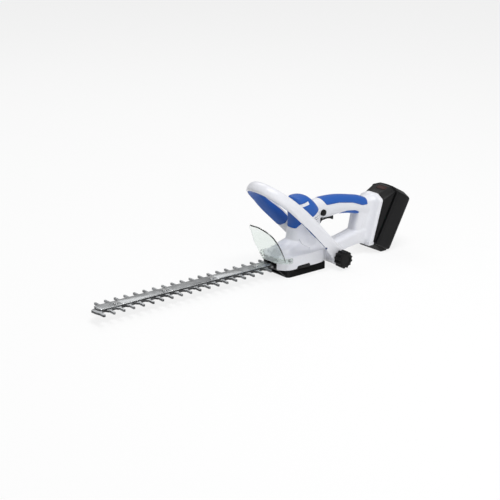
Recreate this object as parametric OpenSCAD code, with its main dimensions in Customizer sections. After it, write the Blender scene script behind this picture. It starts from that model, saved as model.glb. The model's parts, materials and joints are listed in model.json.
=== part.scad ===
// Cordless hedge trimmer with a double-sided reciprocating blade, a folding front loop handle,
// a rear D-handle and a slide-on battery pack.
//
// Frame: the origin lies on the ground, in the middle of the base cover's bottom face.
// +X runs to the rear (battery), the blade points along -X, -Y is the tool's left side, +Z is up.
// The trimmer stands on the base cover and on the foot of the battery pack.

/* [Blade] */
// Distance from one tooth to the next
tooth_pitch = 21; // [19:0.5:23]
// Teeth along each side of a blade
tooth_count = 19; // [12:1:21]
// Width over the tooth tips
blade_w = 64.5; // [60:0.5:70]
// Width of the solid spine of a blade
spine_w = 27; // [24:0.5:30]
// Thickness of one blade
blade_t = 2; // [1.6:0.1:2.4]
// Width of a tooth near its tip
tooth_w = 5.4; // [4.5:0.1:6.5]
// Width of a tooth at its root
tooth_root_w = 12; // [9:0.5:14]
// Depth of the ground bevel along a tooth's flank
tooth_bevel = 1.1; // [0.6:0.1:1.4]
// Length of the nose ahead of the first tooth
nose_len = 27; // [20:1:32]
// Height of the plane between the two blades above the ground
cut_z = 21; // [20:0.5:22]
// Centre of the tooth nearest to the housing, ahead of the origin
last_tooth = 61; // [60:0.5:64]
// Half of the blades' stroke
throw = 5.25; // [4.5:0.25:5.5]
// Running gap between stacked sliding plates
plate_gap = 0.1; // [0.05:0.01:0.15]

/* [Guide bar] */
// Width of the guide bar
bar_w = 24; // [20:0.5:27]
// Thickness of the guide bar's steel
bar_t = 2; // [1.6:0.1:2.4]
// Height of the stamped stiffening sections
rib_h = 2.2; // [1.5:0.1:2.4]
// Width of the stamped stiffening sections at their foot
rib_w = 18; // [14:0.5:20]
// Blade bolts along the bar
bolt_count = 4; // [3:1:5]
// Distance between blade bolts, in teeth
bolt_step = 5.1; // [4.6:0.1:5.2]
// Shank diameter of a blade bolt
bolt_d = 5; // [4:0.5:6]
// Diameter of the spacer sleeve that rides in the blade slots
sleeve_d = 8; // [7:0.5:9]

/* [Base and housing] */
// Length of the base cover
base_l = 104; // [100:1:106]
// Width of the base cover
base_w = 74; // [72:0.5:76]
// Height of the base cover's side wall
base_h = 14; // [12:0.5:15]
// Wall of the moulded housing
wall = 3.2; // [2.8:0.1:3.6]
// Width of the lower housing at the skirt
skirt_w = 76; // [74:0.5:78]
// Height of the deck edge above the ground
deck_z = 40; // [38:0.5:42]
// Height of the top of the motor hood
hood_z = 148.5; // [147:0.5:151]
// Half width of the motor hood
hood_b = 28; // [26:0.5:30]
// Thickness of the soft overmoulded pads
pad_t = 1.6; // [1.2:0.1:2]
// Moulding left bare between the grip's pads and the forms beside them
pad_margin = 0.4; // [0.2:0.1:1]
// Half width of the rear grip
grip_b = 16; // [15:0.5:17.5]
// Width of the battery mount's flange
mount_w = 62; // [60:0.5:64]
// Lean of the battery mount's rear face from the vertical
mount_lean = 16.4; // [16:0.2:18]

/* [Front handle] */
// Distance of the loop's pivot behind the origin
pivot_x = 75; // [73:0.5:77]
// Height of the loop's pivot above the ground
pivot_z = 20; // [19:0.5:21]
// Angle of the loop above the horizontal at rest
loop_angle = 45; // [42:0.5:48]
// Reach of the loop's middle line from its pivot
loop_reach = 225; // [218:1:230]
// Half width of the loop's middle line where the arch begins
loop_b = 51; // [49:0.5:53]
// Depth of the loop's section at the arch
loop_d = 28; // [26:0.5:29]
// Depth of the loop's section along its legs
leg_d = 24.5; // [22:0.5:26]
// Diameter of the round foot at each end of the loop
foot_d = 31; // [28:0.5:32]
// Forward bow of the loop at its top
loop_bow = 7; // [5:0.5:9]
// Thickness of the loop's section at the arch
loop_t = 19; // [16:0.5:20]
// Diameter of the clamping knob
knob_d = 34; // [30:0.5:36]
// Thickness of the clamping knob
knob_t = 18; // [15:0.5:20]
// Diameter of the clamping stud
stud_d = 8; // [6:0.5:9]

/* [Battery] */
// Length of the pack along its slide
pack_l = 116; // [112:0.5:118]
// Thickness of the pack's cell block
pack_t = 38; // [36:0.5:40]
// Width of the pack at its rear edge
pack_w = 77; // [75:0.5:79]
// Lean of the slide from the vertical
slide_lean = 29; // [28:0.5:30]
// Cell diameter
cell_d = 18.4; // [18:0.1:18.6]
// Cell length
cell_l = 65; // [62:0.5:66]
// Cells in the pack
cell_count = 5; // [4:1:5]

/* [Drive] */
// Teeth on the drive gear
gear_teeth = 54; // [50:2:54]
// Teeth on the motor's pinion
pinion_teeth = 12; // [12:1:14]
// Gear module
gear_m = 1; // [0.95:0.05:1]
// Face width of the drive gear
gear_w = 7; // [5:0.5:8]
// Diameter of the gear's pin
pin_d = 8; // [7:0.5:9]
// Diameter of each eccentric
cam_d = 30; // [28:0.5:32]
// Diameter of the motor can
motor_d = 36; // [34:0.5:37]
// Length of the motor can
motor_l = 57; // [52:0.5:60]

/* [Controls] */
// Diameter of the lock-off button
lock_d = 12.4; // [11:0.1:13]
// Travel of the lock-off button
lock_travel = 2; // [1.5:0.25:2.25]
// Width of the trigger
trigger_w = 15; // [13:0.5:17]
// Angle through which the trigger swings
trigger_swing = 9; // [6:0.5:10]

/* [Clearances] */
// Radial running clearance of a shaft or pin in its bore
run_gap = 0.06; // [0.04:0.01:0.08]
// Gap between a moving piece and the moulding around it
free_gap = 0.5; // [0.4:0.05:0.8]
// Gap between mouldings that lie against each other
seat_gap = 0.05; // [0.03:0.01:0.1]

/* [Hidden] */
$fn = 48;
eps = 0.01;

white = "whitesmoke";
blue = "royalblue";
black = [0.12, 0.12, 0.12];
steel = "silver";

// ---- Blade stack, from the cutting plane outwards ----
upper_z = cut_z + plate_gap / 2;
lower_z = cut_z - plate_gap / 2 - blade_t;
bar_z = upper_z + blade_t + plate_gap;
bar_top = bar_z + bar_t;
first_tooth = -last_tooth - tooth_pitch * (tooth_count - 1);
bolt_xs = [for (i = [0:bolt_count - 1]) -last_tooth - tooth_pitch * (1.6 + bolt_step * i)];
bar_front = first_tooth - nose_len + 9;
slot_half = throw + (sleeve_d - bolt_d) / 2 + 1;

// ---- Drive ----
gear_x = -6;
gear_z = bar_top + 7;
motor_x = gear_x + gear_m * (gear_teeth + pinion_teeth) / 2;
cover_z = gear_z + gear_w + 1.5;
motor_z = cover_z + 4;
// Sideways error between a true circle and a constant ratio, worst at 50 degrees
yoke_slack = 0.2106 * throw + 0.2;
yoke_w = cam_d + 2 * yoke_slack;
yoke_l = cam_d + 2 * throw + 2;
yoke_rim = 5;
tail_w = yoke_l + 2 * yoke_rim;
tail_front = gear_x - yoke_w / 2 - yoke_rim;
tail_rear = gear_x + yoke_w / 2 + yoke_rim;

// ---- Mount and battery frames ----
// A point in the battery's frame: v to the rear across the slide, s up along the slide
slide_foot = [188.76, 19.54];
function pack_pt(v, s) = [
    slide_foot[0] + v * cos(slide_lean) + s * sin(slide_lean),
    slide_foot[1] - v * sin(slide_lean) + s * cos(slide_lean)
];
mount_foot = [182.5, 17];
mount_h = pack_l - 12;
// A point behind the mount's face at depth d; q is [across, up along the face]
function on_mount(q, d) = [
    mount_foot[0] + d * cos(mount_lean) + q[1] * sin(mount_lean), q[0],
    mount_foot[1] - d * sin(mount_lean) + q[1] * cos(mount_lean)
];
function on_slide(q, v) = let (p = pack_pt(v, q[1])) [p[0], q[0], p[1]];
function mount_pt(t, d) = let (p = on_mount([0, t], d)) [p[0], p[2]];

function unit(v) = v / norm(v);
function unit_pow(c, p) = sign(c) * pow(abs(c), 2 / p);
function lerp(a, b, t) = a + (b - a) * t;
function short_turn(a) = a > 180 ? a - 360 : a < -180 ? a + 360 : a;

// Arc that rounds corner b of a polygon with radius r
function corner(a, b, c, r, n) =
    let (
        u = unit(a - b),
        v = unit(c - b),
        half = acos(u * v) / 2,
        mid = b + unit(u + v) * r / sin(half),
        p = b + u * r / tan(half) - mid,
        q = b + v * r / tan(half) - mid,
        from = atan2(p[1], p[0]),
        turn = short_turn(atan2(q[1], q[0]) - from)
    )
    [for (k = [0:n]) mid + r * [cos(from + turn * k / n), sin(from + turn * k / n)]];

// Polygon whose corners [x, y, r] are rounded
function rounded(pts, n = 4) = [
    for (i = [0:len(pts) - 1])
    let (
        m = len(pts),
        a = pts[(i + m - 1) % m],
        b = pts[i],
        c = pts[(i + 1) % m]
    )
    each b[2] > 0
        ? corner([a[0], a[1]], [b[0], b[1]], [c[0], c[1]], b[2], n)
        : [[b[0], b[1]]]
];

// Closed ring of a superellipse, half sizes a and b, exponent p
function oval(a, b, p = 2.4, n = 28) = [
    for (i = [0:n - 1])
    let (t = 360 * i / n)
    [a * unit_pow(cos(t), p), b * unit_pow(sin(t), p)]
];

// Solid through closed rings that all turn the same way about the direction in which they follow
module loft(rings) {
    n = len(rings[0]);
    m = len(rings);
    sides = [
        for (j = [0:m - 2], i = [0:n - 1])
        let (a = j * n + i, b = j * n + (i + 1) % n, c = b + n, d = a + n)
        each [[a, d, c], [a, c, b]]
    ];
    ends = [
        [for (i = [0:n - 1]) i],
        [for (i = [n - 1:-1:0]) (m - 1) * n + i]
    ];
    polyhedron(points = [for (r = rings) each r], faces = concat(sides, ends));
}

// Profile in the XZ plane, extruded over half width b to both sides
module across(b, pts) {
    rotate([90, 0, 0])
        linear_extrude(2 * b, center = true)
            polygon(pts);
}

module slot2d(len, w) {
    square([len, w], center = true);
    for (s = [-1, 1])
        translate([s * len / 2, 0]) circle(d = w);
}

module tube(d, bore, h) {
    difference() {
        cylinder(d = d, h = h);
        translate([0, 0, -1]) cylinder(d = bore, h = h + 2);
    }
}

module side_cylinder(x, z, d, y0, y1) {
    translate([x, y0, z])
        rotate([-90, 0, 0])
            cylinder(d = d, h = y1 - y0);
}
// The same on both sides, from half width b0 out to b1
module on_both_sides(x, z, d, b0, b1) {
    for (s = [-1, 1])
        side_cylinder(x, z, d, min(s * b0, s * b1), max(s * b0, s * b1));
}

// ---- Outer form of the moulded housing ----
// Every form takes an inset, so the cavity and the pads follow the same surface

// Points round a form's section; the cavity inside is plainer
function form_n(n, inset) = inset > pad_t + 1 ? n / 2 : n;

// Lower body: [z, front x, rear x, half width], narrower at its front corners
body_rings = [
    [base_h + seat_gap, -60, 62, 0], [17, -61, 63, 0.2], [30, -61, 66, 0], [deck_z - 2, -60, 71, -0.6],
    [deck_z, -58.5, 72, -2], [deck_z + 4, -54, 72, -6], [deck_z + 10, -46, 70, -10.5],
    [deck_z + 16, -35, 67, -13.5], [deck_z + 22, -22, 63, -15.5], [deck_z + 28, -14, 59, -16]
];
module lower_form(inset = 0) {
    loft([
        for (r = body_rings)
        let (
            cx = (r[1] + r[2]) / 2,
            a = (r[2] - r[1]) / 2 - inset,
            b = skirt_w / 2 + r[3] - inset,
            flat = max(0, min(1, (deck_z + 20 - r[0]) / 20)),
            z = r[0] == body_rings[0][0] ? r[0] - sign(inset) : r[0] - inset * (1 - flat)
        )
        [
            for (q = oval(a, b, lerp(2.6, 5, flat), form_n(22, inset)))
            let (
                u = -q[0] / a,
                nose = u > 0.7 ? 1 - lerp(0.1, 0.42, flat) * pow((u - 0.7) / 0.3, 1.4) : 1,
                tail = u < -0.6 ? 1 - 0.3 * pow((-u - 0.6) / 0.4, 2) : 1
            )
            [cx + q[0], q[1] * nose * tail, z]
        ]
    ]);
}

// Neck and motor hood: [z, middle x, half length, share of the hood's half width]
hood_rings = [
    [52, 24, 39.5, 0.93], [62, 23.5, 36, 0.88], [72, 23.5, 34.5, 0.86], [82, 24.5, 34, 0.88],
    [94, 26.5, 32.5, 0.93], [106, 26.5, 31.5, 0.96], [117, 24.5, 30.5, 0.96], [126, 21, 28.5, 0.92],
    [134, 17, 25.5, 0.83], [140.5, 13, 21.5, 0.71], [145.5, 9.5, 16.5, 0.55],
    [hood_z - 1, 7, 10.5, 0.36], [hood_z, 6, 3, 0.1]
];
module hood_form(inset = 0, grow = 0) {
    top = hood_rings[len(hood_rings) - 1][0];
    loft([
        for (r = hood_rings)
        let (
            rise = max(0, (r[0] - 106) / (top - 106)),
            z = r[0] - (inset - grow) * rise,
            cut = (inset - grow) * (1 - 0.35 * rise * rise)
        )
        [
            for (q = oval(max(1, r[2] - cut), max(0.6, r[3] * hood_b - cut), 2.5, form_n(18, inset)))
            [r[1] + q[0], q[1], z]
        ]
    ]);
}

// Rear grip: [x, middle z, half width change, half height]
grip_rings = [
    [34, 110, -2, 17], [46, 111.5, -1.5, 19.5], [62, 113, 0, 21], [84, 112.3, 0, 22],
    [106, 112.5, 0.2, 20], [128, 109.6, 0.3, 19.2], [148, 105.3, 0.3, 19], [164, 100.5, 0.5, 20],
    [178, 94, 1, 21], [190, 88, 1, 20]
];
module grip_form(inset = 0) {
    last = len(grip_rings) - 1;
    loft([
        for (k = [0:last])
        let (
            r = grip_rings[k],
            x = r[0] + (k == 0 ? inset : k == last ? -inset : 0)
        )
        [
            for (q = oval(grip_b + r[2] - inset, r[3] - inset, 2.5, form_n(18, inset)))
            [x, q[0], r[1] + q[1]]
        ]
    ]);
}

// Rear leg of the D-handle: [z, front x, rear x, half width change]
leg_rings = [
    [24, 155, 190, 1], [36, 151, 192, 0], [48, 150, 195, -0.6], [60, 152, 197, -1],
    [74, 155, 201, -1], [88, 158.5, 203, -0.5], [100, 163, 203, 0]
];
module leg_form(inset = 0) {
    last = len(leg_rings) - 1;
    loft([
        for (k = [0:last])
        let (
            r = leg_rings[k],
            z = r[0] + (k == 0 ? inset : k == last ? -inset : 0),
            a = (r[2] - r[1]) / 2 - inset
        )
        [
            for (q = oval(a, grip_b + r[3] - inset, 2.6, form_n(18, inset)))
            [(r[1] + r[2]) / 2 + q[0], q[1], z]
        ]
    ]);
}

// Lower strut: [x, middle z, half width, half height]
strut_rings = [
    [46, 26, 29, 14], [64, 24.5, 26.5, 16], [82, 24, 22, 16.5], [98, 25.5, 17.8, 15],
    [114, 28.5, 16.2, 14], [130, 31.7, 16, 14], [146, 34.5, 16.2, 14.6], [160, 36.5, 17, 15.6],
    [176, 37, 19, 18]
];
module strut_form(inset = 0) {
    last = len(strut_rings) - 1;
    loft([
        for (k = [0:last])
        let (
            r = strut_rings[k],
            x = r[0] + (k == 0 ? inset : k == last ? -inset : 0)
        )
        [
            for (q = oval(r[2] - inset, r[3] - inset, 2.8, form_n(18, inset)))
            [x, q[0], r[1] + q[1]]
        ]
    ]);
}

// Battery mount: sections parallel to its leaning rear face,
// [depth ahead of the face, half width, lower end, upper end, corner radius]
mount_rings = [
    [0, 1, 0, 1, 1], [9, 0.985, 0, 1, 1], [14, 0.92, 0.02, 0.985, 1], [20, 0.74, 0.05, 0.95, 0.9],
    [28, 0.52, 0.1, 0.88, 0.7]
];
module mount_form(inset = 0) {
    last = len(mount_rings) - 1;
    translate([mount_foot[0], 0, mount_foot[1]])
        rotate([0, mount_lean, 0])
            loft([
                for (k = [last:-1:0])
                let (
                    r = mount_rings[k],
                    b = r[1] * mount_w / 2 - inset,
                    lo = r[2] * mount_h + inset,
                    hi = r[3] * mount_h - inset,
                    low_r = min(8 * r[4], b - 1),
                    arch = 9 * r[4],
                    x = -r[0] - (k == 0 ? inset : k == last ? -inset : 0)
                )
                [
                    for (q = rounded([
                        [-b, lo, low_r], [b, lo, low_r], [b, hi - arch, low_r],
                        [b * 0.42, hi, 2 * low_r], [-b * 0.42, hi, 2 * low_r], [-b, hi - arch, low_r]
                    ]))
                    [x, q[0], q[1]]
                ]
            ]);
}

// Round boss on each side of the strut that carries the front handle
module pivot_boss(d, y0, y1) {
    on_both_sides(pivot_x, pivot_z, d, y0, y1);
}

// Lip under the mount that the battery stops on, grown by g
module mount_lip(g = 0) {
    across(mount_w / 2 - 2 + g, [
        [mount_foot[0] - 8, mount_foot[1] + 1 - g], [mount_foot[0], mount_foot[1] + 1 - g],
        [mount_foot[0] + 8.5 + 2 * g, mount_foot[1] + 3 - g / 2],
        [mount_foot[0] + 2.4 + g, mount_foot[1] + 9 + g],
        [mount_foot[0] - 8, mount_foot[1] + 9 + g]
    ]);
}

module housing_form(inset = 0) {
    lower_form(inset);
    hood_form(inset);
    difference() {
        union() {
            grip_form(inset);
            leg_form(inset);
            strut_form(inset);
        }
        across(60, [
            mount_pt(-40, -inset - 0.4), mount_pt(-40, 80), mount_pt(160, 80), mount_pt(160, -inset - 0.4)
        ]);
    }
    mount_form(inset);
}

// ---- Front loop handle ----
// Frame of the loop: s runs from the pivot along the leg, y across; along is the leg's direction,
// deep points up and back across the loop's section
along = [-cos(loop_angle), 0, sin(loop_angle)];
deep = [sin(loop_angle), 0, cos(loop_angle)];
loop_lift = 3.5;
foot_in = skirt_w / 2 + 0.5;
foot_t = 13.5;
foot_b = foot_in + foot_t / 2;
foot_out = foot_in + foot_t;
arch_s = 140;
arch_h = loop_reach - arch_s;
arch_steps = 8;
pad_end_s = 69;
// Stations along a leg, and the half width there: straight beside the knob, then bowing out
leg_stations = [4, knob_d / 2, 32, 48, pad_end_s, 88, 113];
function leg_share(s) = max(0, (s - knob_d / 2) / (arch_s - knob_d / 2));
function leg_b(s) = lerp(foot_b, loop_b, pow(leg_share(s), 0.6));
loop_path = concat(
    [for (s = leg_stations) [s, -leg_b(s)]],
    [
        for (i = [0:2 * arch_steps])
        let (a = 180 - 180 * i / (2 * arch_steps))
        [arch_s + arch_h * unit_pow(sin(a), 2.3), loop_b * unit_pow(cos(a), 2.3)]
    ],
    [for (i = [len(leg_stations) - 1:-1:0]) let (s = leg_stations[i]) [s, leg_b(s)]]
);

function loop_bend(s) = loop_bow * pow(max(0, (s - 90) / (loop_reach - 90)), 2);
function loop_pt(s, y, d = 0) =
    [pivot_x, 0, pivot_z] + along * s + [0, y, 0] + deep * (loop_lift + d - loop_bend(s));

// Part of an oval on one side of the line x = c: side 1 keeps x above c, side -1 x below it
function part_oval(a, b, p, n, c, side) =
    let (
        from = acos(sign(c) * pow(abs(c / a), p / 2)),
        first = side > 0 ? -from : from,
        last = side > 0 ? from : 360 - from
    )
    [
        for (i = [0:n])
        let (t = lerp(first, last, i / n))
        [a * unit_pow(cos(t), p), b * unit_pow(sin(t), p)]
    ];

// Ring of the loop's section on one side of the seam between its shell (1) and its pad (-1)
function loop_ring(k, side, n = 14) =
    let (
        last = len(loop_path) - 1,
        here = loop_path[k],
        step = unit(loop_path[min(last, k + 1)] - loop_path[max(0, k - 1)]),
        out = [step[1], -step[0]],
        half_t = lerp(foot_t, loop_t, min(1, leg_share(here[0]))) / 2,
        arch = min(1, max(0, (here[0] - 110) / 60)),
        deep_leg = lerp(foot_d, leg_d, sqrt(min(1, here[0] / 50))),
        half_d = lerp(deep_leg, loop_d, arch) / 2,
        lift = 1.7 * (1 - arch),
        ramp = min(1, max(0, (here[0] - pad_end_s) / 16)),
        whole = here[0] < pad_end_s,
        seam = whole ? -0.995 * half_t : lerp(1.2 - half_t, -1.2, ramp)
    )
    [
        for (q = part_oval(half_t, half_d, 2.9, n, seam - (side < 0 ? seat_gap : 0), side))
        let (at = here + out * q[0])
        loop_pt(at[0], at[1], q[1] + lift)
    ];

module front_handle() {
    last = len(loop_path) - 1;
    color(white)
        difference() {
            union() {
                loft([for (k = [0:last]) loop_ring(k, 1)]);
                on_both_sides(pivot_x, pivot_z, foot_d, foot_in, foot_out);
            }
            side_cylinder(pivot_x, pivot_z, stud_d + 5 + 2 * seat_gap, -foot_out - 1, foot_out + 1);
        }
}

module front_handle_pad() {
    first = min([for (k = [0:len(loop_path) - 1]) if (loop_path[k][0] >= pad_end_s) k]);
    last = len(loop_path) - 1 - first;
    color(blue)
        loft([for (k = [first:last]) loop_ring(k, -1)]);
}

// ---- Guard ----
// The clear guard is a collar round the front of the skirt with a tongue that rises and leans
// forward: [x, z, half width]
guard_t = 2.4;
guard_line = [
    [-53, 34, 38.9], [-57, 44, 38.6], [-62, 55, 37.5], [-67.5, 66.5, 35.8], [-74.5, 78, 33],
    [-82.5, 88.5, 29.5], [-91, 97.5, 25.5], [-98.5, 103.5, 20.5], [-104.5, 107.5, 13.5], [-108, 109.5, 5]
];
guard_cols = 10;
function guard_pt(k, j, t) =
    let (
        last = len(guard_line) - 1,
        g = guard_line[k],
        step = unit(guard_line[min(last, k + 1)] - guard_line[max(0, k - 1)]),
        out = unit([-step[1], 0, step[0]]),
        side = -1 + 2 * j / guard_cols,
        bulge = lerp(8, 1, min(1, k / 6)) * (1 - pow(abs(side), 2.4))
    )
    [g[0] - bulge, g[2] * side, g[1]] + out * t;

module guard_tongue() {
    rows = len(guard_line);
    cols = guard_cols + 1;
    size = rows * cols;
    front = [for (k = [0:rows - 1], j = [0:cols - 1]) guard_pt(k, j, 0)];
    rear = [for (k = [0:rows - 1], j = [0:cols - 1]) guard_pt(k, j, -guard_t)];
    skin = [
        for (k = [0:rows - 2], j = [0:cols - 2])
        let (a = k * cols + j, b = a + 1, c = b + cols, d = a + cols)
        each [
            [a, b, c], [a, c, d],
            [size + a, size + c, size + b], [size + a, size + d, size + c]
        ]
    ];
    rim = concat(
        [for (j = [0:cols - 1]) j],
        [for (k = [1:rows - 1]) k * cols + cols - 1],
        [for (j = [cols - 2:-1:0]) (rows - 1) * cols + j],
        [for (k = [rows - 2:-1:1]) k * cols]
    );
    edge = [
        for (i = [0:len(rim) - 1])
        let (a = rim[i], b = rim[(i + 1) % len(rim)])
        each [[a, size + a, b], [b, size + a, size + b]]
    ];
    polyhedron(points = concat(front, rear), faces = concat(skin, edge));
}

// Outline of the lower housing in plan at the skirt, grown by g
function skirt_outline(g = 0) = rounded([
    [-60.5 - g, -19 - g * 0.5, 5], [-49 - g * 0.8, -skirt_w / 2 - g, 9], [50, -skirt_w / 2 - g, 4],
    [50, skirt_w / 2 + g, 4], [-49 - g * 0.8, skirt_w / 2 + g, 9], [-60.5 - g, 19 + g * 0.5, 5]
]);
collar_z = 30;
collar_h = 9;
collar_rear = -36;
guard_screw = [-42, collar_z + collar_h / 2];
guard_screw_d = 3.8;
module guard() {
    color([0.75, 0.88, 0.82, 0.5])
        difference() {
            union() {
                guard_tongue();
                translate([0, 0, collar_z])
                    linear_extrude(collar_h)
                        intersection() {
                            polygon(skirt_outline(guard_t + seat_gap));
                            translate([-100, -60]) square([100 + collar_rear, 120]);
                        }
            }
            lower_form(-seat_gap);
            side_cylinder(guard_screw[0], guard_screw[1], guard_screw_d + 0.2, -60, 60);
        }
}

// ---- Base cover ----
function base_outline(g = 0) = rounded([
    [-base_l / 2 - 2 - g, -18 - g * 0.5, 5], [-base_l / 2 + 7 - g * 0.8, -base_w / 2 - g, 9],
    [base_l / 2 + g, -base_w / 2 - g, 5], [base_l / 2 + g, base_w / 2 + g, 5],
    [-base_l / 2 + 7 - g * 0.8, base_w / 2 + g, 9], [-base_l / 2 - 2 - g, 18 + g * 0.5, 5]
]);
base_screw_at = [[-40, -26], [-40, 26], [43, -28], [43, 28]];
base_floor = 3;
// Mouth piece on the cover's front edge: half width, rear, top and the slots the blade runs in
mouth_b = 18.6;
mouth_rear = -45;
mouth_top = 28.6;
stack_gap = 0.4;
// Side tabs of the cover that clip into notches of the skirt, grown by g
module side_tabs(y0, y1, g = 0) {
    for (s = [-1, 1])
        translate([0, s * (y0 + y1) / 2, 0])
            across((y1 - y0) / 2, [
                [-25 - g, base_h - 1], [-20.5 - g / 2, base_h + 6 + g], [8 + g / 2, base_h + 6.5 + g],
                [12 + g, base_h - 1]
            ]);
}

// The space that the blades and the guide bar pass through, from the front back to x
module blade_way(x) {
    translate([-90, -blade_w / 2 - 2, lower_z - stack_gap])
        cube([90 + x, blade_w + 4, 2 * (blade_t + stack_gap) + plate_gap]);
}

module mouth_piece() {
    difference() {
        across(mouth_b, [
            [-base_l / 2 - 2, base_h - 0.5], [-base_l / 2 - 7, lower_z], [-base_l / 2 - 8, mouth_top],
            [mouth_rear, mouth_top], [mouth_rear, base_h - 0.5]
        ]);
        blade_way(-last_tooth + tooth_root_w / 2 + throw + free_gap);
        translate([-90, -spine_w / 2 - free_gap, lower_z - stack_gap])
            cube([60, spine_w + 2 * free_gap, bar_top + 2 * stack_gap - lower_z]);
    }
}

module base_cover() {
    color(black)
        difference() {
            union() {
                difference() {
                    union() {
                        linear_extrude(1.5) polygon(base_outline(-1.5));
                        translate([0, 0, 1.5]) linear_extrude(base_h - 1.5) polygon(base_outline());
                    }
                    translate([0, 0, base_floor]) linear_extrude(base_h) polygon(base_outline(-3));
                    translate([-base_l / 2 + 7, 0, 0])
                        rotate([0, -33, 0])
                            translate([-40, -base_w, -20]) cube([40, 2 * base_w, 60]);
                }
                for (p = base_screw_at)
                    translate([p[0], p[1], base_floor - 1]) cylinder(d = 9, h = base_h - base_floor + 1);
                translate([gear_x, 0, base_floor - 1])
                    cylinder(d = pin_d + 8, h = lower_z - plate_gap - base_floor + 1);
                mouth_piece();
                side_tabs(base_w / 2 - 3, skirt_w / 2);
            }
            for (p = base_screw_at) {
                translate([p[0], p[1], -1]) cylinder(d = 3.4, h = base_h + 2);
                translate([p[0], p[1], -1]) cylinder(d = 6.6, h = base_floor + 1);
            }
            translate([gear_x, 0, base_floor]) cylinder(d = pin_d + 2 * run_gap, h = lower_z);
        }
}

// ---- Blades ----
tooth_xs = [for (i = [0:tooth_count - 1]) first_tooth + tooth_pitch * i];
// One tooth on the -Y side as a polygon in plan, at x = 0
tooth_pts = let (r = tooth_w / 2, tip = blade_w / 2 - r, root = spine_w / 2)
    concat(
        [[-tooth_root_w / 2, 1 - root], [-tooth_root_w / 2, -root], [-r, -root - 5]],
        [for (a = [0:30:180]) [-r * cos(a), -tip - r * sin(a)]],
        [[r, -root - 5], [tooth_root_w / 2, -root], [tooth_root_w / 2, 1 - root]]
    );

// Cutters that grind both flanks of every tooth down to an edge on the cutting plane
module flank_bevels() {
    for (x = tooth_xs, side = [0, 180], m = [-1, 1])
        translate([x, 0, 0])
            rotate([0, 0, side])
                translate([m * tooth_w / 2, -spine_w / 2 - 4.5, 0])
                    rotate([90, 0, 0])
                        linear_extrude(blade_w / 2)
                            polygon([[-m * tooth_bevel, blade_t + 1], [m, blade_t + 1], [m, -eps], [0, 0]]);
}

module blade_plan() {
    difference() {
        union() {
            polygon([
                [first_tooth - nose_len, -2], [first_tooth - nose_len + 2, -4], [first_tooth, -spine_w / 2],
                [tail_front, -spine_w / 2], [tail_front, -tail_w / 2], [tail_rear, -tail_w / 2],
                [tail_rear, tail_w / 2], [tail_front, tail_w / 2], [tail_front, spine_w / 2],
                [first_tooth, spine_w / 2], [first_tooth - nose_len + 2, 4], [first_tooth - nose_len, 2]
            ]);
            for (x = tooth_xs, side = [0, 180])
                translate([x, 0]) rotate(side) polygon(tooth_pts);
        }
        for (x = bolt_xs)
            translate([x, 0]) slot2d(2 * slot_half - 2, sleeve_d + 2 * run_gap);
        translate([gear_x, 0]) square([yoke_w, yoke_l], center = true);
    }
}

module blade() {
    color(steel)
        difference() {
            linear_extrude(blade_t) blade_plan();
            flank_bevels();
        }
}
module blade_upper() {
    translate([0, 0, upper_z]) blade();
}
module blade_lower() {
    translate([0, 0, lower_z + blade_t]) mirror([0, 0, 1]) blade();
}

// Guide bar with stamped stiffening sections between its bolts
hub_d = pin_d + 9;
bar_rear = gear_x - hub_d / 2 - 3;
bar_screw_xs = [bar_rear - 6, bar_rear - 18];
bar_screw_d = 4;
rib_slope = 2.5;
rib_stop = 8;
module guide_bar() {
    cuts = concat([bar_front - 4], [for (i = [bolt_count - 1:-1:0]) bolt_xs[i]], [-last_tooth - 3]);
    color("gainsboro")
        difference() {
            union() {
                translate([0, 0, bar_z])
                    linear_extrude(bar_t)
                        polygon(rounded([
                            [bar_front, -bar_w / 2, 8], [bar_rear, -bar_w / 2, 2],
                            [bar_rear, bar_w / 2, 2], [bar_front, bar_w / 2, 8]
                        ]));
                for (i = [0:len(cuts) - 2])
                    stiffener(cuts[i] + rib_stop, cuts[i + 1] - rib_stop);
            }
            for (x = bolt_xs)
                translate([x, 0, bar_z - 1]) cylinder(d = bolt_d + 2 * run_gap, h = bar_t + rib_h + 2);
            for (x = bar_screw_xs)
                translate([x, 0, bar_z - 1]) cylinder(d = bar_screw_d + 2 * seat_gap, h = bar_t + 2);
        }
}

// Screws that hold the guide bar to the gear plate
module bar_screws() {
    color("dimgray")
        for (x = bar_screw_xs)
            translate([x, 0, 0]) {
                translate([0, 0, bar_z]) cylinder(d = bar_screw_d, h = plate_z + plate_t - bar_z + 0.5);
                translate([0, 0, plate_z + plate_t + seat_gap]) cylinder(d = 7, h = 2.2);
            }
}

// One stamped section from x0 to x1, sloped at its ends and sides
module stiffener(x0, x1) {
    top = bar_top + rib_h;
    if (x1 - x0 > 4 * rib_slope)
        intersection() {
            across(bar_w, [
                [x0, bar_z + eps], [x1, bar_z + eps], [x1, bar_top], [x1 - rib_slope, top],
                [x0 + rib_slope, top], [x0, bar_top]
            ]);
            rotate([90, 0, 90])
                translate([0, 0, x0 - 1])
                    linear_extrude(x1 - x0 + 2)
                        polygon([
                            [-rib_w / 2, bar_z], [rib_w / 2, bar_z], [rib_w / 2, bar_top],
                            [rib_w / 2 - rib_slope, top], [rib_slope - rib_w / 2, top], [-rib_w / 2, bar_top]
                        ]);
        }
}

nut_h = 3.4;
washer_z = lower_z - plate_gap - 1;
module blade_bolts() {
    color(steel)
        for (x = bolt_xs)
            translate([x, 0, 0]) {
                translate([0, 0, bar_top]) cylinder(d = 9, h = 2.4);
                translate([0, 0, washer_z - nut_h - 0.6])
                    cylinder(d = bolt_d, h = bar_top - washer_z + nut_h + 0.7);
            }
}

module blade_sleeves() {
    color("darkgray")
        for (x = bolt_xs)
            translate([x, 0, washer_z]) {
                tube(sleeve_d, bolt_d + 2 * run_gap, bar_z - washer_z);
                tube(sleeve_d + 7, bolt_d + 2 * run_gap, 1);
            }
}

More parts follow.
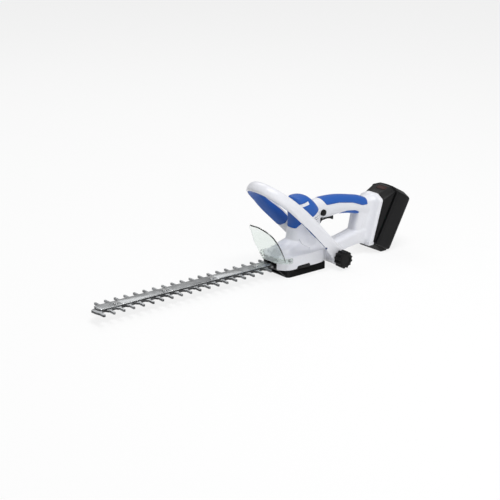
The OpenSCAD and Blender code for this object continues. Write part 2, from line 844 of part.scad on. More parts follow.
module blade_nuts() {
    color("dimgray")
        for (x = bolt_xs)
            translate([x, 0, washer_z - nut_h])
                difference() {
                    cylinder(d = 9.2, h = nut_h, $fn = 6);
                    translate([0, 0, -1]) cylinder(d = bolt_d + 2 * run_gap, h = nut_h + 2);
                }
}

// ---- Drive ----
// Involute point at radius r of a gear whose base radius is rb, as an angle from the flank's start
function involute(r, rb) = r <= rb ? 0 : let (a = acos(rb / r)) tan(a) * 180 / PI - a;
// Outline of a spur gear: teeth z, module m, tip and root radii, thinned by play along the pitch circle
function gear_outline(z, m, tip, root, play) =
    let (
        r = z * m / 2,
        rb = r * cos(20),
        half = 90 / z - play / (2 * r) * 180 / PI + involute(r, rb),
        radii = [max(rb, root), lerp(rb, tip, 0.4), lerp(rb, tip, 0.7), tip]
    )
    [
        for (i = [0:z - 1])
        let (c = 360 * i / z)
        each concat(
            [polar(root, c - half - 0.4 * 90 / z)],
            [for (q = radii) polar(q, c - half + involute(q, rb))],
            [for (k = [len(radii) - 1:-1:0]) polar(radii[k], c + half - involute(radii[k], rb))],
            [polar(root, c + half + 0.4 * 90 / z)]
        )
    ];
function polar(r, a) = [r * cos(a), r * sin(a)];

module drive_gear() {
    color("slategray")
        translate([gear_x, 0, gear_z])
            difference() {
                union() {
                    linear_extrude(gear_w)
                        polygon(gear_outline(
                            gear_teeth, gear_m, gear_m * (gear_teeth / 2 + 0.7),
                            gear_m * (gear_teeth / 2 - 1.25), 0.12
                        ));
                    cylinder(d = pin_d + 8, h = gear_w + 1);
                }
                translate([0, 0, -1]) cylinder(d = pin_d + 2 * run_gap, h = gear_w + 3);
                for (a = [30:60:330])
                    rotate([0, 0, a])
                        translate([gear_teeth * gear_m * 0.33, 0, -1]) cylinder(d = 9, h = gear_w + 2);
            }
}

// Two eccentrics and their hub in one forging, under the gear
module eccentric() {
    color("dimgray")
        translate([gear_x, 0, 0])
            difference() {
                union() {
                    translate([0, throw, upper_z]) cylinder(d = cam_d, h = blade_t);
                    translate([0, -throw, lower_z]) cylinder(d = cam_d, h = blade_t + plate_gap);
                    translate([0, 0, upper_z + blade_t]) cylinder(d = hub_d, h = gear_z - upper_z - blade_t);
                }
                translate([0, 0, lower_z - 1]) cylinder(d = pin_d + 2 * run_gap, h = gear_z - lower_z + 2);
            }
}

module gear_pin() {
    color(steel)
        translate([gear_x, 0, base_floor])
            cylinder(d = pin_d, h = motor_z - base_floor);
}

// Aluminium plate over the blades; the hub of the eccentric passes through it
plate_z = bar_top + seat_gap;
plate_t = 4;
plate_front = -41;
plate_rear = 48;
plate_b = 30;
pillar_at = [[-30, -20.5], [-30, 20.5], [41, -18], [41, 18]];
pillar_d = 6;
case_screw_d = 3;
case_head_d = 5.5;
case_head_h = 2;
module gear_plate() {
    color("gray")
        difference() {
            translate([0, 0, plate_z])
                linear_extrude(plate_t)
                    polygon(rounded([
                        [plate_front, -plate_b + 6, 3], [plate_front + 8, -plate_b, 4],
                        [plate_rear, -plate_b, 3],
                        [plate_rear, plate_b, 3], [plate_front + 8, plate_b, 4], [plate_front, plate_b - 6, 3]
                    ]));
            translate([gear_x, 0, plate_z - 1]) cylinder(d = hub_d + 3, h = plate_t + 2);
            for (x = bar_screw_xs)
                translate([x, 0, plate_z - 1]) cylinder(d = bar_screw_d + 2 * seat_gap, h = plate_t + 2);
            for (p = pillar_at)
                translate([p[0], p[1], plate_z - 1])
                    cylinder(d = case_screw_d + 2 * seat_gap, h = plate_t + 2);
        }
}

// Top plate of the gear case; its pillars stand on the lower plate and the motor is bolted to it
cover_x = [-34, 48];
cover_b = 24;
module gear_cover() {
    base = plate_z + plate_t + seat_gap;
    color("gray")
        difference() {
            union() {
                translate([cover_x[0], -cover_b, cover_z])
                    cube([cover_x[1] - cover_x[0], 2 * cover_b, motor_z - cover_z]);
                for (p = pillar_at)
                    translate([p[0], p[1], base]) cylinder(d = pillar_d, h = cover_z - base + 1);
            }
            translate([gear_x, 0, cover_z - 1]) cylinder(d = pin_d + 2 * run_gap, h = 6);
            translate([motor_x, 0, cover_z - 1]) cylinder(d = gear_m * (pinion_teeth + 2) + 1.5, h = 6);
            for (p = pillar_at)
                translate([p[0], p[1], 0]) {
                    translate([0, 0, base - 1])
                        cylinder(d = case_screw_d + 2 * seat_gap, h = motor_z - base + 2);
                    translate([0, 0, motor_z - case_head_h]) cylinder(d = case_head_d + 0.4, h = 5);
                }
        }
}

// Long screws through both plates and the pillars
module gear_screws() {
    color("dimgray")
        for (p = pillar_at)
            translate([p[0], p[1], 0]) {
                translate([0, 0, plate_z]) cylinder(d = case_screw_d, h = motor_z - plate_z - 0.5);
                translate([0, 0, motor_z - case_head_h + seat_gap])
                    cylinder(d = case_head_d, h = case_head_h);
            }
}

shaft_d = 5;
bearing_d = 11;
bearing_w = 4;
module motor_can() {
    skin = 1.5;
    color("silver")
        translate([motor_x, 0, motor_z])
            difference() {
                union() {
                    cylinder(d = motor_d, h = motor_l);
                    translate([0, 0, motor_l]) cylinder(d = bearing_d + 5, h = 3);
                }
                translate([0, 0, bearing_w]) cylinder(d = motor_d - 2 * skin, h = motor_l - 2 * bearing_w);
                translate([0, 0, -1]) cylinder(d = bearing_d + 0.04, h = motor_l + 6);
            }
}

module motor_bearings() {
    color("lightsteelblue")
        for (z = [0, motor_l - bearing_w])
            translate([motor_x, 0, motor_z + z]) tube(bearing_d, shaft_d + 2 * run_gap, bearing_w);
}

module motor_rotor() {
    r = gear_m * pinion_teeth / 2;
    color("peru")
        translate([motor_x, 0, 0])
            union() {
                translate([0, 0, gear_z])
                    rotate([0, 0, 180 + 180 / pinion_teeth])
                        linear_extrude(gear_w + 0.5)
                            polygon(gear_outline(pinion_teeth, gear_m, r + gear_m, r - gear_m, 0.12));
                translate([0, 0, gear_z - 1]) cylinder(d = shaft_d, h = motor_z + motor_l + 2 - gear_z + 1);
                translate([0, 0, motor_z + 9]) cylinder(d = motor_d - 8, h = motor_l - 22);
                translate([0, 0, motor_z + motor_l - 12]) cylinder(d = 13, h = 6);
            }
}

// ---- Clamp of the front handle ----
stud_in = 20;
knob_in = foot_out + 1;
module clamp_studs() {
    color(steel)
        for (s = [-1, 1])
            side_cylinder(
                pivot_x, pivot_z, stud_d,
                min(s * stud_in, s * (knob_in + knob_t - 5)), max(s * stud_in, s * (knob_in + knob_t - 5))
            );
}

module ring_y(d, bore, y0, y1) {
    translate([pivot_x, y0, pivot_z]) rotate([-90, 0, 0]) tube(d, bore, y1 - y0);
}

washer_d = foot_d - 7;
washer_in = skirt_w / 2 - 3;
module toothed_washers() {
    out = foot_in - seat_gap;
    color("dimgray")
        for (s = [-1, 1])
            ring_y(washer_d, stud_d + 2 * run_gap, min(s * washer_in, s * out), max(s * washer_in, s * out));
}

module handle_bushes() {
    color("gold")
        for (s = [-1, 1])
            ring_y(
                stud_d + 5, stud_d + 2 * run_gap,
                min(s * foot_in, s * foot_out), max(s * foot_in, s * foot_out)
            );
}

knob_lobes = 12;
module knob() {
    translate([pivot_x, 0, pivot_z])
        rotate([90, 0, 0])
            difference() {
                union() {
                    translate([0, 0, knob_in]) cylinder(d = knob_d - 7, h = 4);
                    translate([0, 0, knob_in + 3.5]) cylinder(d = knob_d, h = knob_t - 5);
                    translate([0, 0, knob_in + knob_t - 1.5]) cylinder(d = knob_d - 3, h = 1.5);
                }
                for (k = [0:knob_lobes - 1])
                    rotate([0, 0, 360 * k / knob_lobes])
                        translate([knob_d / 2 + 2.4, 0, knob_in + 3]) cylinder(d = 7.4, h = knob_t);
                translate([0, 0, knob_in + knob_t - 1]) cylinder(d = knob_d - 14, h = 2);
                translate([0, 0, knob_in - 1]) cylinder(d = stud_d + 2 * run_gap, h = knob_t - 3.5);
            }
}
module knob_left() {
    color(black) knob();
}
module knob_right() {
    color(black) mirror([0, 1, 0]) knob();
}

// ---- Trigger and lock-off button ----
trigger_pivot = [64.5, 95];
trigger_slot = [59, 98];
trigger_pin_d = 4;
trigger_pin_b = 12.5;
spring_y = 4.8;
module trigger() {
    color(black)
        difference() {
            across(trigger_w / 2, rounded([
                [60.5, 83.5, 0.6], [62.5, 82.5, 0.6], [66, 87.2, 3], [80, 88.9, 30], [91, 86.8, 4],
                [93.3, 84.6, 1], [96, 84.8, 1], [96, 92, 1.5], [82, 95.5, 10], [70, 99, 3], [60.5, 99, 3]
            ], 3));
            side_cylinder(trigger_pivot[0], trigger_pivot[1], trigger_pin_d + 2 * run_gap, -20, 20);
            translate([60, spring_y - 0.3, trigger_pivot[1] - 4.5]) cube([13, trigger_w, 12]);
        }
}

module trigger_pin() {
    color(steel)
        side_cylinder(trigger_pivot[0], trigger_pivot[1], trigger_pin_d, -trigger_pin_b, trigger_pin_b);
}

module trigger_spring() {
    color("silver")
        translate([trigger_pivot[0], spring_y, trigger_pivot[1]]) {
            rotate([-90, 0, 0]) tube(7.4, trigger_pin_d + 2 * run_gap, 2.4);
            translate([1.5, 0, 2.4]) rotate([0, -30, 0]) cube([6, 1, 1]);
        }
}

lock_at = [62, 106];
lock_seat = 3;
lock_face = 18.4;
lock_flange = 9.8;
lock_flange_d = lock_d + 2.6;
switch_x = [71, 99];
switch_b = 9.5;
switch_z = [101.5, 117.5];
module switch_body() {
    color("dimgray")
        union() {
            translate([switch_x[0], -switch_b, switch_z[0]])
                cube([switch_x[1] - switch_x[0], 2 * switch_b, switch_z[1] - switch_z[0]]);
            translate([54, -lock_seat, 100.5]) cube([switch_x[0] - 53, 2 * lock_seat, 12]);
        }
}

module lock_button() {
    color(black)
        union() {
            side_cylinder(lock_at[0], lock_at[1], lock_d, -lock_face, -lock_flange - 1);
            side_cylinder(lock_at[0], lock_at[1], lock_flange_d, -lock_flange - 1.4, -lock_flange);
            side_cylinder(lock_at[0], lock_at[1], 4.4, -lock_flange - 0.2, -lock_seat - lock_travel - 0.4);
        }
}

module lock_spring() {
    color("silver")
        translate([lock_at[0], -lock_flange + seat_gap, lock_at[1]])
            rotate([-90, 0, 0]) tube(8, 5.6, lock_flange - lock_seat - 2 * seat_gap);
}

// ---- Battery, its rail and contacts ----
// Ring of the pack across its slide: half width b, from s0 up to s1, arched top
function pack_ring(b, s0, s1, arch, r) = rounded([
    [-b, s0, r], [b, s0, r], [b, s1 - arch, r],
    [b * 0.4, s1, 3 * r], [-b * 0.4, s1, 3 * r], [-b, s1 - arch, r]
]);
split_v = -2;

module rail_prism(b, v0, v1, s0, s1) {
    across(b, [pack_pt(v0, s0), pack_pt(v1, s0), pack_pt(v1, s1), pack_pt(v0, s1)]);
}

module battery_case() {
    front = pack_ring(mount_w / 2 - 0.6, 9, mount_h - 0.5, 9, 5);
    rear = pack_ring(pack_b, 0, pack_l + 7, 7, 5);
    color(black)
        difference() {
            loft([
                [for (q = front) on_mount(q, free_gap)],
                [for (q = rear) on_slide(q, split_v - seat_gap)]
            ]);
            rail_prism(rail_b + free_gap, -45, slot_v, -30, rail_top + free_gap);
            rail_prism(flange_b + free_gap, -9, slot_v, -30, rail_top + free_gap);
            for (y = contact_ys)
                translate([0, y, 0])
                    rail_prism(
                        contact_b + seat_gap, slot_v - 1, split_v,
                        contact_s[0] - seat_gap, contact_s[1] + seat_gap
                    );
            latch_box(free_gap, -latch_size[2] - latch_travel - 0.4, 10);
            mount_lip(free_gap);
        }
}
// Rail and its flanges, and the slot they leave in the battery's case
rail_b = 14;
flange_b = 19;
rail_top = pack_l - 42;
slot_v = -3.6;
contact_ys = [-8, 0, 8];
contact_b = 3;
contact_s = [24, 44];
pack_b = 34.3;
pack_foot_x = 206;
pack_foot_b = 31;

// Sections of the rear shell: [v, width beyond the split's, set-in at the ends]
pack_rings = [
    [split_v, 0, 0], [4, 0.5, 0], [pack_t - 5, 4.2, 0], [pack_t - 1.5, 3.2, 1.5], [pack_t, 0.5, 4]
];
module battery_rear() {
    color(black)
        difference() {
            union() {
                loft([
                    for (r = pack_rings)
                    [for (q = pack_ring(pack_b + r[1], r[2], pack_l + 7 - r[2], 7, 5)) on_slide(q, r[0])]
                ]);
                across(pack_foot_b, [
                    pack_pt(split_v, 4), [pack_foot_x, 0], [pack_pt(pack_t, 0)[0] - 1, 0],
                    pack_pt(pack_t - 2, 4)
                ]);
            }
            rail_prism(cell_l / 2 + 0.6, split_v - 1, pack_t - 2.4, 5, pack_l - 2);
            mount_lip(free_gap);
        }
}

module battery_cells() {
    gap = 0.3;
    step = (pack_l - 10) / cell_count;
    color("seagreen")
        for (row = [0, 1], k = [0:cell_count - 1])
            let (p = pack_pt(split_v + gap + cell_d / 2 + row * (cell_d + gap / 2), 5 + step * (k + 0.5)))
                side_cylinder(p[0], p[1], cell_d, -cell_l / 2, cell_l / 2);
}

// Rail that carries the pack; its rear face and flanges run along the slide
module terminal_rail() {
    color("dimgray")
        difference() {
            intersection() {
                union() {
                    rail_prism(rail_b, -40, -4, 6, rail_top);
                    rail_prism(flange_b, -8.4, -4, 10, rail_top);
                }
                across(flange_b + 1, [
                    mount_pt(0, seat_gap), mount_pt(0, 60), mount_pt(mount_h, 60), mount_pt(mount_h, seat_gap)
                ]);
            }
            for (y = contact_ys)
                translate([0, y, 0]) rail_prism(1.1, -9, -3, 5, rail_top - 20);
            mount_lip(seat_gap);
        }
}

module terminal_blades() {
    color("goldenrod")
        for (y = contact_ys)
            translate([0, y, 0]) rail_prism(0.5, seat_gap - 9, -4.4, 20, rail_top - 20 - seat_gap);
}

module battery_contacts() {
    color("goldenrod")
        for (y = contact_ys)
            translate([0, y, 0])
                rail_prism(contact_b, slot_v, split_v - 2 * seat_gap, contact_s[0], contact_s[1]);
}

// Latch button in the sloping top of the battery's case
latch_size = [11, 24, 4];
latch_travel = 2;
top_front = mount_pt(mount_h - 0.5, free_gap);
top_rear = pack_pt(split_v, pack_l + 7);
latch_tilt = atan2(top_rear[1] - top_front[1], top_rear[0] - top_front[0]);
latch_at = lerp(top_front, top_rear, 0.6);
// Box in the latch's frame from z0 to z1 off the case's top, grown by g
module latch_box(g, z0, z1) {
    translate([latch_at[0], 0, latch_at[1]])
        rotate([0, -latch_tilt, 0])
            translate([-latch_size[0] / 2 - g, -latch_size[1] / 2 - g, z0])
                cube([latch_size[0] + 2 * g, latch_size[1] + 2 * g, z1 - z0]);
}
module battery_latch() {
    color("saddlebrown") latch_box(0, -latch_size[2], 0.4);
}
module latch_spring() {
    h = latch_travel + 0.3;
    color("silver")
        translate([latch_at[0], 0, latch_at[1]])
            rotate([0, -latch_tilt, 0]) translate([0, 0, -latch_size[2] - h - seat_gap]) tube(6, 4, h);
}

// ---- Moulded housing ----
// Screws that join the halves: [x, z, seat of the head]; they go in from the right
split_screws = [
    [-42, 45, 19], [58, 38, 27], [51, 87, 11], [112, 110, 9], [172, 86, 10], [168, 44, 10], [112, 30, 9]
];
split_screw_d = 3;
split_screw_reach = 9;
split_head_d = 5.8;
boss_d = 7.5;
vent_n = 5;
vent_gap = 5;

module half_space(side) {
    translate([-300, side > 0 ? 0 : -200, -50]) cube([700, 200, 400]);
}

// Areas that the pads cover, as prisms through the housing
module hood_region() {
    difference() {
        across(60, rounded([
            [-60, 86, 1], [-6, 86, 5], [3, 97, 8], [28, 108, 10], [64, 127, 1], [90, 127, 1],
            [90, 200, 1], [-60, 200, 1]
        ]));
        for (s = [-1, 1])
            translate([6, s * 26, 133]) rotate([0, -12, 0]) cube([26, 30, 6.2], center = true);
    }
}
module grip_top_region() {
    across(40, rounded([
        [62, 137, 1], [73, 121.5, 6], [104, 121, 40], [140, 114.5, 40], [168, 104.5, 8], [184, 104, 8],
        [188, 120, 10], [170, 140, 10], [100, 150, 10]
    ]));
}
module grip_under_region() {
    across(40, rounded([
        [114, 97.5, 3], [128, 98.4, 20], [150, 94.5, 12], [161, 87.5, 3], [159, 78, 3], [114, 78, 3]
    ]));
}

module hood_pad() {
    color(blue)
        intersection() {
            difference() {
                hood_form(0, 0.4);
                hood_form(pad_t);
                grip_form(-free_gap);
            }
            hood_region();
        }
}
// Layers over the grip that its pads fill, kept clear of the mount and the leg by gap
module grip_top_layer(proud, t, gap) {
    intersection() {
        difference() {
            grip_form(-proud);
            grip_form(t);
            mount_form(-gap);
        }
        grip_top_region();
    }
}
module grip_under_layer(proud, t, gap) {
    intersection() {
        difference() {
            grip_form(-proud);
            grip_form(t);
            leg_form(-gap);
        }
        grip_under_region();
    }
}
module grip_pad_top() {
    color(blue) grip_top_layer(0.4, pad_t, pad_margin + seat_gap);
}
module grip_pad_under() {
    color(blue) grip_under_layer(0.4, pad_t, pad_margin + seat_gap);
}

// Material that stays inside the housing: screw bosses, posts, and ribs that hold the works
module housing_inside() {
    $fn = 10;
    rib_z = gear_z + gear_w + free_gap;
    for (p = split_screws)
        side_cylinder(p[0], p[1], boss_d, -60, 60);
    pivot_boss(stud_d + 8, 14, 40);
    pivot_boss(foot_d, washer_in - wall, 40);
    for (s = [-1, 1]) {
        side_cylinder(guard_screw[0], guard_screw[1], boss_d, min(s * 29, s * 45), max(s * 29, s * 45));
        for (x = [-20, 20])
            translate([x, s > 0 ? cover_b - 1.5 : -60, rib_z])
                cube([2.4, 61.5 - cover_b, motor_z + 2.5 - rib_z]);
        for (x = [switch_x[0] + 4, switch_x[1] - 7])
            translate([x, s > 0 ? switch_b + seat_gap : -60, switch_z[0]])
                cube([2, 60 - switch_b - seat_gap, switch_z[1] - switch_z[0]]);
        for (p = base_screw_at)
            if (p[1] * s > 0)
                translate([p[0] - 4, s > 0 ? p[1] - 4 : p[1] - 20, base_h])
                    cube([8, 24, plate_z - base_h - 1]);
    }
}

module housing_cavity() {
    difference() {
        housing_form(wall);
        housing_inside();
    }
}

// Recesses that the soft pads lie in
module pad_recesses() {
    difference() {
        intersection() {
            hood_form(-2);
            hood_region();
        }
        hood_form(pad_t + seat_gap);
        grip_form();
    }
    grip_top_layer(2, pad_t + seat_gap, pad_margin);
    grip_under_layer(2, pad_t + seat_gap, pad_margin);
}

module housing_openings() {
    // base cover with its mouth piece and side tabs, and the blades' teeth
    translate([0, 0, -1]) linear_extrude(base_h + 1 + seat_gap) polygon(base_outline(seat_gap));
    translate([-90, -mouth_b - seat_gap, 0])
        cube([90 + mouth_rear + seat_gap, 2 * (mouth_b + seat_gap), mouth_top + seat_gap]);
    blade_way(-last_tooth + tooth_w / 2 + throw + free_gap);
    side_tabs(base_w / 2 - 4, skirt_w / 2 + 2, 2 * seat_gap);
    // plates of the gear case between the ribs
    translate([cover_x[0] - 1, -cover_b - seat_gap, cover_z - seat_gap])
        cube([cover_x[1] - cover_x[0] + 2, 2 * (cover_b + seat_gap), motor_z - cover_z + 2 * seat_gap]);
    // trigger, its pin, and the lock-off button with its flange
    translate([trigger_slot[0], -trigger_w / 2 - free_gap, 70])
        cube([trigger_slot[1] - trigger_slot[0], trigger_w + 2 * free_gap, 34]);
    side_cylinder(
        trigger_pivot[0], trigger_pivot[1], trigger_pin_d + 0.3, -trigger_pin_b - 0.2, trigger_pin_b + 0.2
    );
    side_cylinder(lock_at[0], lock_at[1], lock_d + 2 * free_gap, -40, 0);
    side_cylinder(lock_at[0], lock_at[1], lock_flange_d + 2 * free_gap, -lock_flange - 1.8, 0);
    // clamp studs and toothed washers
    pivot_boss(stud_d + 0.4, stud_in - 1, 60);
    pivot_boss(washer_d + 0.8, washer_in, 60);
    // screws of the guard and of the base cover
    side_cylinder(guard_screw[0], guard_screw[1], guard_screw_d + 0.3, -60, 60);
    for (p = base_screw_at)
        translate([p[0], p[1], 0]) cylinder(d = 3.5, h = base_h + 5);
}

module vents() {
    for (k = [0:vent_n - 1], s = [-1, 1])
        hull()
            for (e = [0, 1])
                translate([31 + e * 11, s * 30, 83 + k * vent_gap + e * 3])
                    rotate([90, 0, 0]) cylinder(d = 1.6, h = 30, center = true, $fn = 8);
}

module screw_holes() {
    $fn = 14;
    for (p = split_screws) {
        side_cylinder(p[0], p[1], split_screw_d + 0.3, -split_screw_reach - 1, 60);
        side_cylinder(p[0], p[1], split_head_d + 0.6, p[2], 60);
    }
}

module housing_half(side) {
    $fn = 16;
    color(white)
        difference() {
            intersection() {
                union() {
                    housing_form();
                    pivot_boss(foot_d - 1, 10, skirt_w / 2);
                    mount_lip();
                }
                half_space(side);
            }
            housing_cavity();
            pad_recesses();
            housing_openings();
            vents();
            screw_holes();
        }
}

module housing_left() {
    housing_half(-1);
}
module housing_right() {
    housing_half(1);
}
module housing_screws() {
    color("dimgray")
        for (p = split_screws)
            union() {
                side_cylinder(p[0], p[1], split_head_d, p[2] + seat_gap, p[2] + 2.5);
                side_cylinder(p[0], p[1], split_screw_d, -split_screw_reach, p[2] + 0.5);
            }
}
module base_screws() {
    color("dimgray")
        for (p = base_screw_at)
            translate([p[0], p[1], 0.8]) {
                cylinder(d = 6, h = base_floor - 0.8 - seat_gap);
                cylinder(d = 3.2, h = base_h + 3);
            }
}
module guard_screws() {
    color("dimgray")
        on_both_sides(guard_screw[0], guard_screw[1], guard_screw_d, 31, 41.5);
}

housing_left();
housing_right();
hood_pad();
grip_pad_top();
grip_pad_under();
housing_screws();
base_cover();
base_screws();
guard();
guard_screws();
guide_bar();
bar_screws();
blade_upper();
blade_lower();
blade_bolts();
blade_sleeves();
blade_nuts();
gear_plate();
gear_pin();
drive_gear();
eccentric();
gear_cover();
gear_screws();
motor_can();
motor_rotor();
motor_bearings();
front_handle();
front_handle_pad();
handle_bushes();
toothed_washers();
clamp_studs();
knob_left();
knob_right();
trigger();
trigger_pin();
trigger_spring();
switch_body();
lock_button();
lock_spring();
terminal_rail();
terminal_blades();
battery_case();
battery_rear();
battery_cells();
battery_contacts();
battery_latch();
latch_spring();
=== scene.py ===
import json
import math

import bpy
import numpy as np
from mathutils import Matrix, Vector


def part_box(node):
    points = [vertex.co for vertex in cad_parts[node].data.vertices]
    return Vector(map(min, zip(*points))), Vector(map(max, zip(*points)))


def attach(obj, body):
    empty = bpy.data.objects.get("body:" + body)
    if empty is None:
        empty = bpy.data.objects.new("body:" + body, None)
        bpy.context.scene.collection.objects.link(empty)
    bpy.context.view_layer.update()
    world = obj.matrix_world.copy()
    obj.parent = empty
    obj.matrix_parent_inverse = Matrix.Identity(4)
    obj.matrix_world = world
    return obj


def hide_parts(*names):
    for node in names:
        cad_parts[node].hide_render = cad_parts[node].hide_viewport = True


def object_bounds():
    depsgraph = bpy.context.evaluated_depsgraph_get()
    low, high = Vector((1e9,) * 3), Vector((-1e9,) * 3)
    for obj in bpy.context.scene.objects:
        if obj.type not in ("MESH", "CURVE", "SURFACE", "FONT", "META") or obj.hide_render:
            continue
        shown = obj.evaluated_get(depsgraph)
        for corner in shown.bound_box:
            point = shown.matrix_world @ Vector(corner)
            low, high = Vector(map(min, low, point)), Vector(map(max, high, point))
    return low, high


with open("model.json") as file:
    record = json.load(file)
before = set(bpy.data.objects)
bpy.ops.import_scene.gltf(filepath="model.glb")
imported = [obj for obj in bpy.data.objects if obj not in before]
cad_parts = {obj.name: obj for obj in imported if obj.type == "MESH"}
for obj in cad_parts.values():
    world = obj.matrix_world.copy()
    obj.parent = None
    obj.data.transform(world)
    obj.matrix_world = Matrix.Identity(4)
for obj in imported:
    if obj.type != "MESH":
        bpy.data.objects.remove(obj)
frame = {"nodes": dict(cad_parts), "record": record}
CAD_BOX = [list(corner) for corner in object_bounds()]

bl_info = {
    "name": "Cordless hedge trimmer",
    "version": (1, 0, 0),
    "blender": (4, 5, 0),
    "location": "View3D > Sidebar > Trimmer",
    "description": "Dresses the packed hedge trimmer with its mouldings, finishes and studio",
    "category": "Object",
}

MM = 0.001
SIDES = ((-1, "left"), (1, "right"))
finishes = {}


def linear(hex_code):
    """Linear colour of an sRGB hex value."""
    channels = [int(hex_code[i:i + 2], 16) / 255 for i in (0, 2, 4)]
    return [c / 12.92 if c <= 0.04045 else ((c + 0.055) / 1.055) ** 2.4 for c in channels]


# ---- Sizes and colours that a user would change ----
class TrimmerSizes(bpy.types.PropertyGroup):
    """Sizes of the finish on the mouldings, in millimetres."""

    seam_gap: bpy.props.FloatProperty(
        name="Seam gap", description="Parting line between the housing halves, in mm",
        default=0.35, min=0.1, max=1.0)
    pad_proud: bpy.props.FloatProperty(
        name="Pad height", description="How far the soft pads stand proud, in mm",
        default=0.45, min=0.1, max=1.0)
    edge_round: bpy.props.FloatProperty(
        name="Edge radius", description="Radius along the edges of small mouldings, in mm",
        default=0.7, min=0.2, max=2.0)
    voxel: bpy.props.FloatProperty(
        name="Blend size", description="Grid that the housing's forms are blended on, in mm",
        default=1.25, min=0.8, max=3.0)


class TrimmerColours(bpy.types.PropertyGroup):
    """Colours of the mouldings."""

    body: bpy.props.FloatVectorProperty(
        name="Housing", description="Colour of the moulded housing",
        subtype="COLOR", size=3, default=linear("E4E5EA"))
    grip: bpy.props.FloatVectorProperty(
        name="Grips", description="Colour of the soft overmoulds",
        subtype="COLOR", size=3, default=linear("1F5AB0"))
    black: bpy.props.FloatVectorProperty(
        name="Black parts", description="Colour of the base, knobs and battery",
        subtype="COLOR", size=3, default=linear("0C0C0D"))
    latch: bpy.props.FloatVectorProperty(
        name="Latch", description="Colour of the battery's latch button",
        subtype="COLOR", size=3, default=linear("341C1A"))


# ---- Modelling helpers: every place and size that they take is in millimetres ----
def only(obj=None):
    """Leave edit mode, deselect everything, and select obj alone."""
    if bpy.context.object and bpy.context.object.mode != "OBJECT":
        bpy.ops.object.mode_set(mode="OBJECT")
    bpy.ops.object.select_all(action="DESELECT")
    if obj:
        obj.select_set(True)
        bpy.context.view_layer.objects.active = obj
    return obj


def edit_all(obj):
    only(obj)
    bpy.ops.object.mode_set(mode="EDIT")
    bpy.ops.mesh.select_all(action="SELECT")


def face_outwards(obj):
    edit_all(obj)
    bpy.ops.mesh.normals_make_consistent(inside=False)
    return only(obj)


def fresh(name):
    """The primitive that was just added, under its own name."""
    bpy.context.object.name = name
    return bpy.context.object


def set_points(obj, places):
    obj.data.vertices.foreach_set("co", (np.array(places, float) * MM).ravel())
    obj.data.update()
    return obj


def modify(obj, kind, **settings):
    """Add a modifier with its settings and apply it."""
    only(obj)
    modifier = obj.modifiers.new(kind.lower(), kind)
    for name, value in settings.items():
        setattr(modifier, name, value)
    bpy.ops.object.modifier_apply(modifier=modifier.name)
    return obj


def bevel(obj, radius, degrees, segments=2):
    """Round the edges that turn by more than an angle."""
    return modify(obj, "BEVEL", width=radius * MM, segments=segments, limit_method="ANGLE",
                  angle_limit=math.radians(degrees))


def cut(obj, cutter, operation="DIFFERENCE"):
    modify(obj, "BOOLEAN", operation=operation, object=cutter, solver="EXACT")
    bpy.data.objects.remove(cutter)
    return obj


def join(objects, name):
    only(objects[0])
    for obj in objects:
        obj.select_set(True)
    bpy.ops.object.join()
    return fresh(name)


def copy_of(obj, name):
    """A copy with its own mesh, free of its parent and materials."""
    only(obj)
    bpy.ops.object.duplicate()
    twin = fresh(name)
    twin.parent = None
    for key in [k for k in twin.keys() if k.startswith("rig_")]:
        del twin[key]
    twin.data.materials.clear()
    return twin


def merged_copy(node, name):
    """A CAD solid with its loose triangles merged."""
    piece = copy_of(frame["nodes"][node], name)
    edit_all(piece)
    bpy.ops.mesh.remove_doubles(threshold=2e-6)
    return only(piece)


def eased_copy(node, name, radius, extras=()):
    """A CAD solid with its edges rounded, and with extra forms grown on it."""
    piece = merged_copy(node, name)
    for extra in extras:
        cut(piece, extra, "UNION")
    edit_all(piece)
    bpy.ops.mesh.dissolve_limited(angle_limit=math.radians(1))
    return smooth(bevel(piece, radius, 30), 40)


def sheet(name, rows):
    """A grid with its rows of points in place."""
    only()
    bpy.ops.mesh.primitive_grid_add(x_subdivisions=len(rows[0]) - 1, y_subdivisions=len(rows) - 1, size=1)
    return set_points(fresh(name), rows)


def loft(name, rings):
    """A moulded form: a sheet rolled into a tube, with each row on one section, then merged and closed."""
    obj = sheet(name, [list(ring) + [ring[0]] for ring in rings])
    edit_all(obj)
    bpy.ops.mesh.remove_doubles(threshold=1e-6)
    bpy.ops.mesh.select_all(action="SELECT")
    bpy.ops.mesh.fill_holes(sides=0)
    return face_outwards(obj)


def prism(name, outline, y0, y1):
    """A profile in the XZ plane, filled and extruded from y0 to y1."""
    only()
    bpy.ops.mesh.primitive_circle_add(vertices=len(outline), radius=1, fill_type="NGON")
    obj = set_points(fresh(name), [(x, y0, z) for x, z in outline])
    edit_all(obj)
    bpy.ops.mesh.extrude_region_move(TRANSFORM_OT_translate={"value": (0, (y1 - y0) * MM, 0)})
    return face_outwards(obj)


def plate(name, outline, z0, z1):
    """A profile in plan, filled and extruded from z0 to z1."""
    obj = prism(name, [(x, -y) for x, y in outline], z0, z1)
    obj.data.transform(Matrix.Rotation(math.radians(90), 4, "X"))
    return obj


def block(name, low, high):
    only()
    low, high = Vector(low) * MM, Vector(high) * MM
    bpy.ops.mesh.primitive_cube_add(size=1, location=(low + high) / 2, scale=high - low)
    bpy.ops.object.transform_apply()
    return fresh(name)


def rod(name, diameter, start, end, vertices=48):
    """A cylinder from start to end."""
    only()
    start, end = Vector(start) * MM, Vector(end) * MM
    turn = (end - start).to_track_quat("Z", "Y").to_euler()
    bpy.ops.mesh.primitive_cylinder_add(
        vertices=vertices, radius=diameter * MM / 2, depth=(end - start).length,
        location=(start + end) / 2, rotation=turn)
    bpy.ops.object.transform_apply()
    return fresh(name)


def pivot_rod(name, diameter, y0, y1, vertices=48):
    """A cylinder on the axis of the front handle and its knobs."""
    return rod(name, diameter, (PIVOT[0], y0, PIVOT[1]), (PIVOT[0], y1, PIVOT[1]), vertices)


